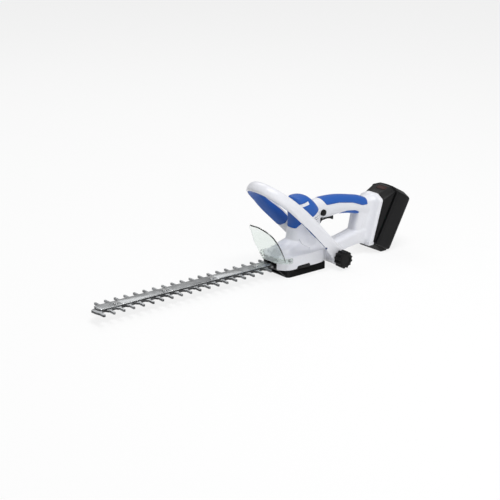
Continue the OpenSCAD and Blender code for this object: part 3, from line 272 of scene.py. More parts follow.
def cord(name, points, radius):
    """A thin round bar along a line of points."""
    rings = []
    for k, here in enumerate(points):
        ahead, behind = points[min(k + 1, len(points) - 1)], points[max(k - 1, 0)]
        turn = (Vector(ahead) - Vector(behind)).to_track_quat("Z", "Y")
        rings.append([tuple(Vector(here) + turn @ Vector((radius * math.cos(t), radius * math.sin(t), 0)))
                      for t in turns(10)])
    return loft(name, rings)


def smooth(obj, degrees=180):
    only(obj)
    if degrees >= 180:
        bpy.ops.object.shade_smooth()
    else:
        bpy.ops.object.shade_smooth_by_angle(angle=math.radians(degrees))
    return obj


def blend_forms(obj, voxel, rounds):
    """Blend overlapping solids into one skin with soft fillets where they meet."""
    modify(obj, "REMESH", mode="VOXEL", voxel_size=voxel * MM, adaptivity=0)
    return modify(obj, "SMOOTH", factor=0.5, iterations=rounds)


def finish(obj, body, slot, *replaces, look=None):
    """Give a piece the finish of its slot and its body, and hide the solids that it stands for."""
    only(obj)
    obj.data.materials.clear()
    obj.data.materials.append(finishes[look or slot])
    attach(obj, body)
    if replaces:
        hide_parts(*replaces)


# ---- Sections of the moulded forms ----
RING_STEPS, CORNER_STEPS, LOOP_STEPS = 64, 6, 26


def turns(n):
    return [2 * math.pi * i / n for i in range(n)]


def lerp(a, b, t):
    return a + (b - a) * t


def clamp(value, low=0.0, high=1.0):
    return max(low, min(high, value))


def spread(table, steps):
    """Smooth curve through a table's rows, steps points to each row."""
    rows = np.array(table, float)
    ends = np.vstack([2 * rows[0] - rows[1], rows, 2 * rows[-1] - rows[-2]])
    out = []
    for a, b, c, d in zip(ends, ends[1:], ends[2:], ends[3:]):
        for t in (i / steps for i in range(steps)):
            out.append(0.5 * (2 * b + (c - a) * t + (2 * a - 5 * b + 4 * c - d) * t * t
                              + (3 * b - a - 3 * c + d) * t ** 3))
    return [list(map(float, row)) for row in out + [rows[-1]]]


def power(value, p):
    """Cosine or sine of a superellipse: p is 2 for an ellipse and grows as it gets squarer."""
    return math.copysign(abs(value) ** (2 / p), value)


def oval(a, b, p):
    """Closed ring of a superellipse with half sizes a and b."""
    return [(a * power(math.cos(t), p), b * power(math.sin(t), p)) for t in turns(RING_STEPS)]


def rounded(corners, grow=0.0):
    """Outline whose corners (x, z, radius) are rounded, then grown outwards."""
    out = []
    m = len(corners)
    for i, (_, _, r) in enumerate(corners):
        a, b, c = (Vector(corners[(i + k) % m][:2]) for k in (-1, 0, 1))
        u, v = (a - b).normalized(), (c - b).normalized()
        half = math.acos(clamp(u.dot(v), -1, 1)) / 2
        if r <= 0 or half > 1.56:
            out.append(b)
            continue
        middle = b + (u + v).normalized() * r / math.sin(half)
        p, q = b + u * r / math.tan(half) - middle, b + v * r / math.tan(half) - middle
        start = math.atan2(p.y, p.x)
        turn = (math.atan2(q.y, q.x) - start + math.pi) % (2 * math.pi) - math.pi
        out += [middle + r * Vector((math.cos(t), math.sin(t)))
                for t in (start + turn * k / CORNER_STEPS for k in range(CORNER_STEPS + 1))]
    if not grow:
        return [tuple(p) for p in out]
    area = sum(a.x * b.y - b.x * a.y for a, b in zip(out, out[1:] + out[:1]))
    side = 1 if area > 0 else -1
    grown = []
    for i, p in enumerate(out):
        along = (out[(i + 1) % len(out)] - out[i - 1]).normalized()
        grown.append((p.x + side * along.y * grow, p.y - side * along.x * grow))
    return grown


def both_sides(*corners):
    """Outline in plan that is alike on both sides, from the corners (x, y, radius) of one side."""
    return rounded(list(corners) + [(x, -y, r) for x, y, r in reversed(corners)])


BASE_H, DECK_Z, HOOD_Z = 14.05, 40, 148.5
SKIRT_B, HOOD_B, GRIP_B = 38, 28, 16
PIVOT = (75, 20)
MOUNT_FOOT, MOUNT_H, MOUNT_B, MOUNT_LEAN = (182.5, 17), 104, 31, math.radians(16.4)
# squareness of the sections: 2 is an ellipse
DECK_P, SKIRT_P, GRIP_P, LEG_P, STRUT_P = 2.6, 5, 2.5, 4, 5
# shares of the skirt's half length where its nose and tail start, and of its width that they lose
NOSE_START, DECK_NOSE, SKIRT_NOSE, TAIL_START, TAIL_LOSS = 0.7, 0.1, 0.42, 0.6, 0.3
# the skirt turns into the deck over DECK_FADE, and the hood closes above HOOD_TURN
DECK_FADE, HOOD_TURN = 20, 106
MOUNT_R, MOUNT_ARCH, MOUNT_LEVEL = 8, 9, 0.42

# z, front x, rear x, extra half width
BODY = [(BASE_H, -60, 62, 0), (17, -61, 63, 0.2), (30, -61, 66, 0), (38.8, -60.5, 71, -0.2),
        (40.8, -59, 72, -1.4), (42.6, -55.5, 72, -5), (46, -50, 71.5, -9), (51, -42, 70, -12),
        (56, -29, 67, -14), (62, -14, 63, -15.5), (68, -8, 59, -16)]
# z, middle x, half length, share of the half width
HOOD = [(52, 24, 39.5, 0.93), (62, 23.5, 36, 0.88), (72, 23.5, 34.5, 0.86), (82, 24.5, 34, 0.88),
        (94, 26.2, 32.2, 0.93), (106, 25.4, 30.4, 0.96), (117, 23, 29, 0.96), (126, 19.3, 26.8, 0.92),
        (134, 15.2, 23.7, 0.83), (140.5, 11.6, 20.1, 0.71), (145.5, 8.6, 15.6, 0.55),
        (147.5, 6.6, 10.1, 0.36), (148.5, 6, 3, 0.1)]
# x, middle z, half width, half height
GRIP = [(34, 110, -2, 17), (46, 111.3, -1.5, 19.3), (62, 112.5, 0, 20.5), (84, 111.7, 0, 21.4),
        (106, 111.9, 0.2, 19.4), (128, 109, 0.3, 18.6), (148, 104.8, 0.3, 18.5), (164, 100.1, 0.5, 19.6),
        (178, 93.8, 1, 20.8), (190, 88, 1, 20)]
STRUT = [(46, 26, 29, 14), (64, 24.5, 26.5, 16), (82, 24, 22, 16.5), (98, 25.5, 17.8, 15),
         (114, 28.5, 16.2, 14), (130, 31.7, 16, 14), (146, 34.5, 16.2, 14.6), (160, 36.5, 17, 15.6),
         (176, 37, 19, 18)]
# z, front x, rear x, extra half width
LEG = [(24, 155, 190, 1), (36, 151, 192, 0), (48, 150, 195, -0.6), (60, 152, 197, -1), (74, 155, 201, -1),
       (88, 158.5, 203, -0.5), (100, 163, 203, 0)]
# depth in front of the face, shares of its half width, foot and height, share of its corner radii
MOUNT = [(-1, 1, 0, 1, 1), (4.5, 0.99, 0, 1, 1), (8.5, 0.93, 0.02, 0.985, 1), (12, 0.72, 0.05, 0.96, 0.9),
         (18, 0.54, 0.08, 0.93, 0.7), (27, 0.5, 0.1, 0.88, 0.7)]


def body_sections(inset):
    rings = []
    for z, front, rear, wide in spread(BODY, 4):
        a, b, middle = (rear - front) / 2 - inset, SKIRT_B + wide - inset, (front + rear) / 2
        flat = clamp((DECK_Z + DECK_FADE - z) / DECK_FADE)
        level = z - inset if z == BASE_H else z - inset * (1 - flat)
        loss = lerp(DECK_NOSE, SKIRT_NOSE, flat)
        ring = []
        for x, y in oval(a, b, lerp(DECK_P, SKIRT_P, flat)):
            u = -x / a
            nose = 1 - loss * ((u - NOSE_START) / (1 - NOSE_START)) ** 1.4 if u > NOSE_START else 1
            tail = 1 - TAIL_LOSS * ((-u - TAIL_START) / (1 - TAIL_START)) ** 2 if u < -TAIL_START else 1
            ring.append((middle + x, y * nose * tail, level))
        rings.append(ring)
    return rings


def hood_sections(inset):
    rings = []
    for z, middle, long, share in spread(HOOD, 5):
        rise = clamp((z - HOOD_TURN) / (HOOD_Z - HOOD_TURN))
        trim = inset * (1 - 0.35 * rise * rise)
        rings.append([(middle + x, y, z - inset * rise)
                      for x, y in oval(max(1, long - trim), max(0.6, share * HOOD_B - trim), GRIP_P)])
    return rings


def tube_sections(table, inset, p, width):
    rows = spread(table, 5)
    rings = []
    for k, (x, middle, b, c) in enumerate(rows):
        shift = inset if k == 0 else -inset if k == len(rows) - 1 else 0
        rings.append([(x + shift, y, middle + z) for y, z in oval(width + b - inset, c - inset, p)])
    return rings


def grip_sections(inset):
    return tube_sections(GRIP, inset, GRIP_P, GRIP_B)


def leg_sections(inset):
    return [[((front + rear) / 2 + x, y, z)
             for x, y in oval((rear - front) / 2 - inset, GRIP_B + wide - inset, LEG_P)]
            for z, front, rear, wide in spread(LEG, 5)]


def mount_place(across, up, depth):
    """A point behind the battery mount's leaning face."""
    return (MOUNT_FOOT[0] + depth * math.cos(MOUNT_LEAN) + up * math.sin(MOUNT_LEAN), across,
            MOUNT_FOOT[1] - depth * math.sin(MOUNT_LEAN) + up * math.cos(MOUNT_LEAN))


def mount_sections(inset, rear):
    rings = []
    for k, (depth, wide, low, high, r) in enumerate(spread(MOUNT, 4)):
        b, lo, hi = wide * MOUNT_B - inset, low * MOUNT_H + inset, high * MOUNT_H - inset
        small, arch, top = min(MOUNT_R * r, b - 1), MOUNT_ARCH * r, b * MOUNT_LEVEL
        outline = rounded([(-b, lo, small), (b, lo, small), (b, hi - arch, small), (top, hi, 2 * small),
                           (-top, hi, 2 * small), (-b, hi - arch, small)])
        rings.append([mount_place(y, up, (rear if k == 0 else 0) - max(depth, 0)) for y, up in outline])
    return rings


def trim_at_mount(obj, depth):
    """Cut away what reaches behind the battery mount's face."""
    edit_all(obj)
    bpy.ops.mesh.bisect(
        plane_co=Vector(mount_place(0, 50, depth)) * MM,
        plane_no=(math.cos(MOUNT_LEAN), 0, -math.sin(MOUNT_LEAN)), use_fill=True, clear_outer=True)
    return only(obj)


def housing_skin(name, inset, voxel, rounds):
    """The whole outside of the housing, or its cavity when inset, as one blended skin."""
    forms = [loft("body_form", body_sections(inset)), loft("hood_form", hood_sections(inset))]
    for sections in (grip_sections(inset), tube_sections(STRUT, inset, STRUT_P, 0), leg_sections(inset)):
        forms.append(trim_at_mount(loft("bar_form", sections), -inset - 0.4))
    forms.append(loft("mount_form", mount_sections(inset, -inset)))
    if not inset:
        forms.append(pivot_rod("pivot_boss", 30, -SKIRT_B, SKIRT_B))
    return blend_forms(join(forms, name), voxel, rounds)


# ---- Finishes ----
def add(tree, kind, settings=None, links=None):
    """Add a shader node, set its attributes or sockets, and feed its sockets from nodes or their outputs."""
    node = tree.nodes.new("ShaderNode" + kind)
    for name, value in (settings or {}).items():
        if isinstance(name, int) or name in node.inputs:
            node.inputs[name].default_value = value
        else:
            setattr(node, name, value)
    for name, source in (links or {}).items():
        feed(tree, source, node, name)
    return node


def feed(tree, source, node, name):
    """Link an output, or a node's first output, to a socket."""
    tree.links.new(getattr(source, "outputs", [source])[0], node.inputs[name])


def new_finish(name):
    """A material with an empty tree, its surface shader and the object's own coordinates."""
    material = bpy.data.materials.new(name)
    material.use_nodes = True
    tree = material.node_tree
    tree.nodes.clear()
    shader = add(tree, "BsdfPrincipled")
    out = add(tree, "OutputMaterial", links={"Surface": shader})
    out.is_active_output = True
    place = add(tree, "TexCoord").outputs["Object"]
    return material, tree, shader, place


def set_shader(shader, **values):
    for name, value in values.items():
        shader.inputs[name.replace("_", " ")].default_value = value


def relief(tree, shader, height, depth):
    bump = add(tree, "Bump", {"Strength": 1.0, "Distance": depth * MM}, {"Height": height})
    feed(tree, bump, shader, "Normal")


def grain(tree, shader, place, size, depth, detail=2.0):
    """Relief of a moulded or ground surface: grain size and height in millimetres."""
    noise = add(tree, "TexNoise", {"Scale": 1 / (size * MM), "Detail": detail}, {"Vector": place})
    relief(tree, shader, noise, depth)
    return noise


def tone(tree, shader, factor, dark, light, low=0.3, high=0.7):
    """Colour that wanders between two tones."""
    ramp = add(tree, "ValToRGB", links={"Fac": factor})
    for end, position, colour in zip(ramp.color_ramp.elements, (low, high), (dark, light)):
        end.position, end.color = position, (*colour, 1)
    feed(tree, ramp, shader, "Base Color")
    return ramp


def sheen_spread(tree, shader, factor, low, high):
    """Roughness that varies between two values."""
    feed(tree, add(tree, "MapRange", {"To Min": low, "To Max": high}, {"Value": factor}), shader, "Roughness")


def shade_of(colour, factor):
    return [c * factor for c in colour]


def grained(name, skin, colour, shades, roughness, **values):
    """A finish whose grain (size, depth, detail) also carries its two shades and its spread of roughness."""
    material, tree, shader, place = new_finish(name)
    noise = grain(tree, shader, place, *skin)
    tone(tree, shader, noise, *(shade_of(colour, shade) for shade in shades))
    sheen_spread(tree, shader, noise, *roughness)
    set_shader(shader, **values)
    return material


def moulded_abs(name, colour, roughness):
    """ABS from a polished steel mould: an even tone, a soft broad highlight and a trace of orange peel."""
    return grained(name, (3.5, 0.006), colour, (0.97, 1), (roughness - 0.04, roughness + 0.05),
                   IOR=1.53, Specular_IOR_Level=0.45)


def moulded_tpe(name, colour):
    """Thermoplastic rubber moulded over the ABS: matt, slightly velvety, with a fine spark-eroded grain."""
    # real grain is about 0.2 mm; drawn at 0.7 mm so that it shows
    return grained(name, (0.7, 0.05, 3.0), colour, (0.86, 1), (0.48, 0.62),
                   IOR=1.5, Specular_IOR_Level=0.4, Sheen_Weight=0.12, Sheen_Roughness=0.4)


def textured_nylon(name, colour, roughness=0.5, size=0.8):
    """Glass-filled nylon from an eroded mould: near black, broken highlights, a pebbled grain."""
    return grained(name, (size, 0.06, 3.0), colour, (0.8, 1.15), (roughness - 0.08, roughness + 0.1),
                   IOR=1.53, Specular_IOR_Level=0.16)


def ground_steel(name, colour, roughness, along):
    """Ground carbon steel: fine scratches along one axis streak the reflection, with faint clouding, and
    painted shade darkens its side faces.
    """
    material, tree, shader, place = new_finish(name)
    stretch = [1 / (0.35 * MM)] * 3
    stretch["XYZ".index(along)] = 1 / (30 * MM)
    lines_at = add(tree, "Mapping", {"Scale": stretch}, {"Vector": place})
    lines = add(tree, "TexNoise", {"Scale": 1.0, "Detail": 4.0}, {"Vector": lines_at})
    cloud = add(tree, "TexNoise", {"Scale": 1 / (14 * MM), "Detail": 2.0}, {"Vector": place})
    mixed = add(tree, "Math", {"operation": "MULTIPLY_ADD", 1: 0.6}, {0: lines, 2: cloud})
    # the flat faces are left bright by the grinding; faces that turn sideways are darkened by their facing:
    # painted shade on the sides, together with the stamped edges' dark scale
    facing = add(tree, "SeparateXYZ", links={0: add(tree, "TexCoord").outputs["Normal"]})
    flat = add(tree, "Math", {"operation": "ABSOLUTE"}, {0: facing.outputs["Z"]})
    side_shade_and_scale = add(tree, "MapRange", {"From Min": 0.1, "From Max": 0.6, "To Min": -0.7, "To Max": 0},
                 {"Value": flat})
    level = add(tree, "Math", {"operation": "ADD"}, {0: mixed, 1: side_shade_and_scale})
    ramp = tone(tree, shader, level, shade_of(colour, 0.72), colour, 0.5, 1.0)
    # near-black end of the tones: painted shade on the side faces, with their dark scale
    ramp.color_ramp.elements.new(0.1).color = (*shade_of(colour, 0.12), 1)
    sheen_spread(tree, shader, mixed, roughness - 0.08, roughness + 0.16)
    relief(tree, shader, lines, 0.004)
    set_shader(shader, Metallic=1.0)
    return material


def plated_metal(name, colour, roughness=0.32):
    """Turned or pressed metal with a thin plating: bright, slightly cloudy."""
    return grained(name, (2.0, 0.004), colour, (0.8, 1), (roughness - 0.06, roughness + 0.1), Metallic=1.0)


def clear_polycarbonate(name, tint):
    """Injection-moulded polycarbonate: clear and glossy, with dark and bright lines along its edges."""
    material, tree, shader, place = new_finish(name)
    grain(tree, shader, place, 12.0, 0.004)
    set_shader(shader, Base_Color=(*tint, 1), Roughness=0.02, IOR=1.58, Transmission_Weight=1.0)
    return material


def printed_sleeve(name, colour):
    """Shrink sleeve of a battery cell: smooth, taut PVC film."""
    return grained(name, (6.0, 0.01), colour, (0.85, 1), (0.22, 0.3))


def make_finishes():
    colours = bpy.context.scene.trimmer_colours
    body, grip, black, latch = (list(c) for c in (colours.body, colours.grip, colours.black, colours.latch))
    return {
        "white_abs": moulded_abs("white_moulded_abs", body, 0.3),
        "blue_tpe": moulded_tpe("blue_overmoulded_tpe", grip),
        # the same rubber darkened to 0.3: painted shade of the pad's parting line
        "blue_tpe_painted_shade": moulded_tpe("blue_tpe_line_painted_shade", shade_of(grip, 0.3)),
        "black_nylon": textured_nylon("black_glass_filled_nylon", black, 0.42),
        "knob_plastic": textured_nylon("black_knob_nylon", shade_of(black, 0.9), 0.4, 1.2),
        "control_plastic": textured_nylon("black_control_nylon", shade_of(black, 0.7), 0.4, 0.6),
        "battery_plastic": textured_nylon("black_battery_abs", shade_of(black, 1.5), 0.42, 1.0),
        "latch_plastic": textured_nylon("red_brown_latch_abs", latch, 0.5),
        "guard_pc": clear_polycarbonate("clear_guard_polycarbonate", linear("E9F0EC")),
        "blade_steel": ground_steel("ground_blade_steel", linear("C4C6C8"), 0.34, "Y"),
        "bar_steel": ground_steel("rolled_bar_steel", linear("B4B6B7"), 0.3, "X"),
        "bolt_steel": plated_metal("zinc_plated_bolt", linear("F0F0F0"), 0.22),
        "screw_steel": plated_metal("dark_zinc_plated_screw", linear("A6A8AB"), 0.36),
        "inner_steel": plated_metal("machined_steel", linear("A8A9AD"), 0.34),
        "inner_alloy": plated_metal("die_cast_zinc", linear("8E8F93"), 0.5),
        "bearing_brass": plated_metal("sintered_bronze", linear("B08A4E"), 0.42),
        "contact_brass": plated_metal("rolled_contact_brass", linear("D2B36A"), 0.25),
        "spring_steel": plated_metal("drawn_spring_wire", linear("A5A6AA"), 0.3),
        "inner_plastic": textured_nylon("black_inner_nylon", shade_of(black, 1.2), 0.5),
        "cell_can": printed_sleeve("cell_shrink_sleeve", linear("2F7D6E")),
    }


# ---- Front handle and pads: forms shared by several pieces ----
LOOP_ANGLE = math.radians(45)
ALONG = Vector((-math.cos(LOOP_ANGLE), 0, math.sin(LOOP_ANGLE)))
DEEP = Vector((math.sin(LOOP_ANGLE), 0, math.cos(LOOP_ANGLE)))
# names with S are distances from the pivot along the leg, those with B half widths
LOOP_REACH, LOOP_B, LOOP_BOW, LOOP_LIFT, ARCH_S, BOW_S = 225, 51, 7, 3.5, 140, 90
FOOT_IN, FOOT_T, FOOT_D, FOOT_S, LEG_D, LOOP_D, LOOP_T, KNOB_D = 38.5, 13.5, 31, 50, 28.2, 28, 19, 34
PAD_END_S, PAD_OVERLAP, PAD_END_SHARES = 84, 0.12, (0.35, 0.68, 0.86, 0.96)
LINE_END_S, SHADE_LINE_R, EYE_D, FRONT_SLANT, BARE_STRIP = 47, 0.55, 4.2, 10, 3
# the arch's swelling: its start before ARCH_S, its length, what it adds to the bar and shifts the parting
CROWN_LEAD, CROWN_LENGTH, CROWN_STOUT, CROWN_SHIFT = 35, 75, 1.9, 5
CORNER_P, ROUND_P, ARCH_P = 9, 2.9, 2.15
# where the legs' depth starts to turn into the arch's, and over what length
DEPTH_S, DEPTH_LENGTH = 110, 60


def leg_share(s):
    """Share of the way from the knob's edge to the arch."""
    return max(0, (s - KNOB_D / 2) / (ARCH_S - KNOB_D / 2))


def leg_y(s):
    """How far the leg's middle lies from the middle plane."""
    return lerp(FOOT_IN + FOOT_T / 2, LOOP_B, min(1, leg_share(s)) ** 0.6)


def leg_halves(s):
    """Half thickness and half depth of the loop's section."""
    leg = lerp(FOOT_D, LEG_D, math.sqrt(min(1, s / FOOT_S)))
    depth = lerp(leg, LOOP_D, clamp((s - DEPTH_S) / DEPTH_LENGTH))
    return lerp(FOOT_T, LOOP_T, min(1, leg_share(s))) / 2, depth / 2


def loop_line():
    """Middle line of the loop: distance from the pivot along the leg, and half width."""
    # stations lie closer together where the pad ends
    stations = [4 + 5 * k for k in range(16)] + [PAD_END_S + q for q in (-0.1, 0, 0.9, 2.4, 4.6)]
    stations += [92 + 4 * k for k in range(12)]
    leg = [(s, -leg_y(s)) for s in stations]
    arch = [(ARCH_S + (LOOP_REACH - ARCH_S) * power(math.sin(a), 2.3), LOOP_B * power(math.cos(a), 2.3))
            for a in (math.pi - math.pi * k / 56 for k in range(57))]
    return [Vector(p) for p in leg + arch + [(s, -y) for s, y in reversed(leg)]]


def loop_point(s, y, d):
    bend = LOOP_BOW * max(0, (s - BOW_S) / (LOOP_REACH - BOW_S)) ** 2
    return Vector((PIVOT[0], 0, PIVOT[1])) + ALONG * s + Vector((0, y, 0)) + DEEP * (LOOP_LIFT + d - bend)


def loop_ring(line, k, side, gap=0.0):
    """Part of the loop's section on one side of its parting line: shell 1, pad -1.

    The line runs from the outer face's lower edge up to a bare strip along the inner face's upper edge."""
    here = line[k]
    step = (line[min(len(line) - 1, k + 1)] - line[max(0, k - 1)]).normalized()
    outward = Vector((step.y, -step.x))
    a, b = leg_halves(here.x)
    # the arch is a rounder, stouter bar than the legs
    rise = clamp((here.x - ARCH_S + CROWN_LEAD) / CROWN_LENGTH)
    crown = rise * rise * (3 - 2 * rise)
    a += CROWN_STOUT * crown
    slope = -2 * a / (2 * b - BARE_STRIP)
    shift = a + slope * b + side * gap - CROWN_SHIFT * crown

    def place(t):
        # the outer face meets the front in a sharp corner, where the pad's lip lies
        p = lerp(CORNER_P if math.cos(t) > 0 > math.sin(t) else ROUND_P, ARCH_P, crown)
        return a * power(math.cos(t), p), b * power(math.sin(t), p)

    def beyond(t):
        across, deep = place(t)
        return across - slope * deep - shift > 0

    shell = [t for t in (2 * math.pi * i / 720 - math.pi * 0.75 for i in range(721)) if beyond(t)]
    first, last = (shell[0], shell[-1]) if side > 0 else (shell[-1], shell[0] + 2 * math.pi)
    if side > 0 and here.x < PAD_END_S:
        # below the pad the shell goes all the way round
        middle = (first + last) / 2
        first, last = middle - math.pi, middle + math.pi * 0.999
    ring = []
    for i in range(LOOP_STEPS + 1):
        across, deep = place(lerp(first, last, i / LOOP_STEPS))
        if deep < 0:
            # the front face rises towards the inner side
            deep -= deep / b * (a - across) / (2 * a) * FRONT_SLANT * clamp(here.x / FOOT_S)
        at = here + outward * across
        ring.append(tuple(loop_point(at.x, at.y, deep + 0.2)))
    return ring


def shrunk(ring, share):
    """A ring drawn in towards its middle."""
    middle = sum((Vector(p) for p in ring), Vector()) / len(ring)
    return [tuple(middle.lerp(Vector(p), share)) for p in ring]


# outlines of the pads, seen from the side: x, z, radius
HOOD_EDGE = [(-60, 86, 1), (-6, 86, 5), (3, 97, 8), (28, 108, 10), (64, 127, 1), (90, 127, 1), (90, 200, 1),
             (-60, 200, 1)]
GRIP_TOP_EDGE = [(59, 137, 1), (71, 119.5, 6), (104, 118.6, 40), (140, 112, 40), (166, 102, 9),
                 (184, 101.5, 9), (188, 120, 10), (170, 140, 10), (100, 150, 10)]
GRIP_UNDER_EDGE = [(113, 95.6, 2), (128, 97.4, 24), (149, 94.2, 14), (160, 88.6, 4), (160, 78, 3),
                   (113, 78, 3)]
# the tab that interrupts the hood's pad: half length, half height, middle, lean
TAB_L, TAB_H, TAB_PLACE, TAB_LEAN = 13, 3.1, (6, 0, 133), math.radians(-12)


def pad_layer(sections, outline, outer, inner, edge, *clear):
    """Layer of a form between two insets, within a pad's outline grown by edge and clear of other forms."""
    layer = loft("pad_layer", sections(outer))
    cut(layer, prism("pad_edge", rounded(outline, grow=edge), -60, 60), "INTERSECT")
    for cutter in (loft("pad_core", sections(inner)), *clear):
        cut(layer, cutter)
    return layer


def pad_layers(outer, inner, edge, grip_clear, clear):
    """Layers of the three pads, the hood's with its tabs left out, each clear of the forms beside it."""
    beside = [loft("grip_clear", grip_sections(-grip_clear))]
    length, height = TAB_L - edge, TAB_H - edge
    for side in (-1, 1):
        tab = block("tab", (-length, side * 26 - 15, -height), (length, side * 26 + 15, height))
        tab.data.transform(Matrix.Translation(Vector(TAB_PLACE) * MM) @ Matrix.Rotation(TAB_LEAN, 4, "Y"))
        beside.append(tab)
    return {
        "hood_pad": pad_layer(hood_sections, HOOD_EDGE, outer, inner, edge, *beside),
        "grip_pad_top": pad_layer(grip_sections, GRIP_TOP_EDGE, outer, inner, edge,
                                  loft("mount_clear", mount_sections(-clear, clear))),
        "grip_pad_under": pad_layer(grip_sections, GRIP_UNDER_EDGE, outer, inner, edge,
                                    loft("leg_clear", leg_sections(-clear))),
    }


# ---- Pieces ----
class TRIMMER_OT_finishes(bpy.types.Operator):
    """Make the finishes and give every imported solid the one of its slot"""

    bl_idname = "trimmer.finishes"
    bl_label = "Finishes"

    def execute(self, context):
        finishes.update(make_finishes())
        slots = {part["node"]: part["material_slot"] for part in frame["record"]["subparts"]}
        for name, node in frame["nodes"].items():
            node.data.materials.clear()
            node.data.materials.append(finishes[slots[name]])
        return {"FINISHED"}


WALL, CAVITY_GRID, BASE_GAP, PAD_SEAT, PAD_BASE, PAD_GAP = 3.2, 2.6, 0.15, 1.9, 1.7, 0.25
PAD_GRID, LOOP_GRID = 0.6, 0.9
# the first vent's front end (x, z), its run and rise, the step to the next, the radius of its ends
VENTS, VENT_START, VENT_RUN, VENT_STEP, VENT_R = 5, (31, 83), (11, 3), 5, 0.9
NECK_SEAM = [(-2.5, 18.9, 65.5), (-2, 19.8, 62.2), (0.8, 23.6, 55.9), (7.4, 26.4, 51.2), (15.2, 29, 46.9)]
# x, z, and how far the seat lies from the middle plane
CASE_SCREWS = ((58, 38, 27), (51, 87, 11), (112, 110, 9), (172, 86, 10), (168, 44, 10), (112, 30, 9))


class TRIMMER_OT_housing(bpy.types.Operator):
    """Model the two halves of the moulded housing"""

    bl_idname = "trimmer.housing"
    bl_label = "Housing"

    def execute(self, context):
        sizes = context.scene.trimmer_sizes
        skin = housing_skin("housing_skin", 0.0, sizes.voxel, 4)
        cut(skin, housing_skin("housing_cavity", WALL, CAVITY_GRID, 3))
        x, z = MOUNT_FOOT
        # the sill under the battery
        lip = [(x - 8, z + 1), (x, z + 1), (x + 8.5, z + 3), (x + 2.4, z + 9), (x - 8, z + 9)]
        cut(skin, prism("mount_lip", lip, -29, 29), "UNION")
        seats = pad_layers(-3, PAD_SEAT, PAD_GAP, 0.4, 0.4)
        for cutter in list(seats.values()) + self.openings():
            cut(skin, cutter)
        for side, name in SIDES:
            half = copy_of(skin, "housing_" + name + "_shell")
            edit_all(half)
            bpy.ops.mesh.bisect(plane_co=(0, side * sizes.seam_gap * MM / 2, 0), plane_no=(0, -side, 0),
                                use_fill=True, clear_outer=True)
            finish(smooth(only(half), 38), "root", "white_abs", "housing_" + name)
        bpy.data.objects.remove(skin)
        return {"FINISHED"}

    def openings(self):
        """Cutters for the base cover, blades, vents, controls, clamp and screws."""
        g = BASE_GAP
        base = both_sides((-54 - g, 18, 5), (-45 - g, 37 + g, 9), (52 + g, 37 + g, 5))
        out = [plate("base_plan", base, -1, 14.2), block("mouth", (-90, -18.75, 5), (-44.8, 18.75, 28.7)),
               block("blade_way", (-90, -13, 18.5), (-52.5, 34.3, 23.6))]
        for side in (-1, 1):
            out.append(prism("side_tab", [(-25.1, 13), (-20.6, 20.15), (8.1, 20.65), (12.1, 13)],
                             *sorted((side * 33, side * 40))))
            out += [self.vent(k, side) for k in range(VENTS)]
            seam = [(x, side * y, z) for x, y, z in spread(NECK_SEAM, 4)]
            out.append(cord("neck_seam", seam, 1.8))
            x, y, z = seam[-1]
            out.append(rod("seam_end", 3.4, (x, y - side * 2, z), (x, y + side * 4, z), 16))
            out.append(pivot_rod("washer_seat", 27, side * 35.5, side * 60))
        out.append(block("trigger_way", (59, -8, 70), (98, 8, 100)))
        low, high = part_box("lock_button")
        middle = (low + high) / 2 / MM
        out.append(rod("lock_way", 13.2, (middle.x, -40, middle.z), (middle.x, -5, middle.z)))
        return out + [rod("screw_way", 6.6, (x, seat, z), (x, 60, z), 24) for x, z, seat in CASE_SCREWS]

    def vent(self, k, side):
        """A sloping vent slot with round ends."""
        (x, z), (run, rise) = VENT_START, VENT_RUN
        slope = math.atan2(rise, run)
        slot = [(x + end * run + VENT_R * math.cos(a), z + VENT_STEP * k + end * rise + VENT_R * math.sin(a))
                for end, start in ((1, slope - math.pi / 2), (0, slope + math.pi / 2))
                for a in (start + math.pi * i / 6 for i in range(7))]
        return prism("vent", slot, *sorted((side * 18, side * 44)))


class TRIMMER_OT_pads(bpy.types.Operator):
    """Model the soft pads of the hood and the rear grip"""

    bl_idname = "trimmer.pads"
    bl_label = "Soft pads"

    def execute(self, context):
        layers = pad_layers(-context.scene.trimmer_sizes.pad_proud, PAD_BASE, 0, 0.8, 0.6)
        for node, layer in layers.items():
            layer.name = node + "_skin"
            finish(smooth(blend_forms(layer, PAD_GRID, 3)), "root", "blue_tpe", node)
        return {"FINISHED"}


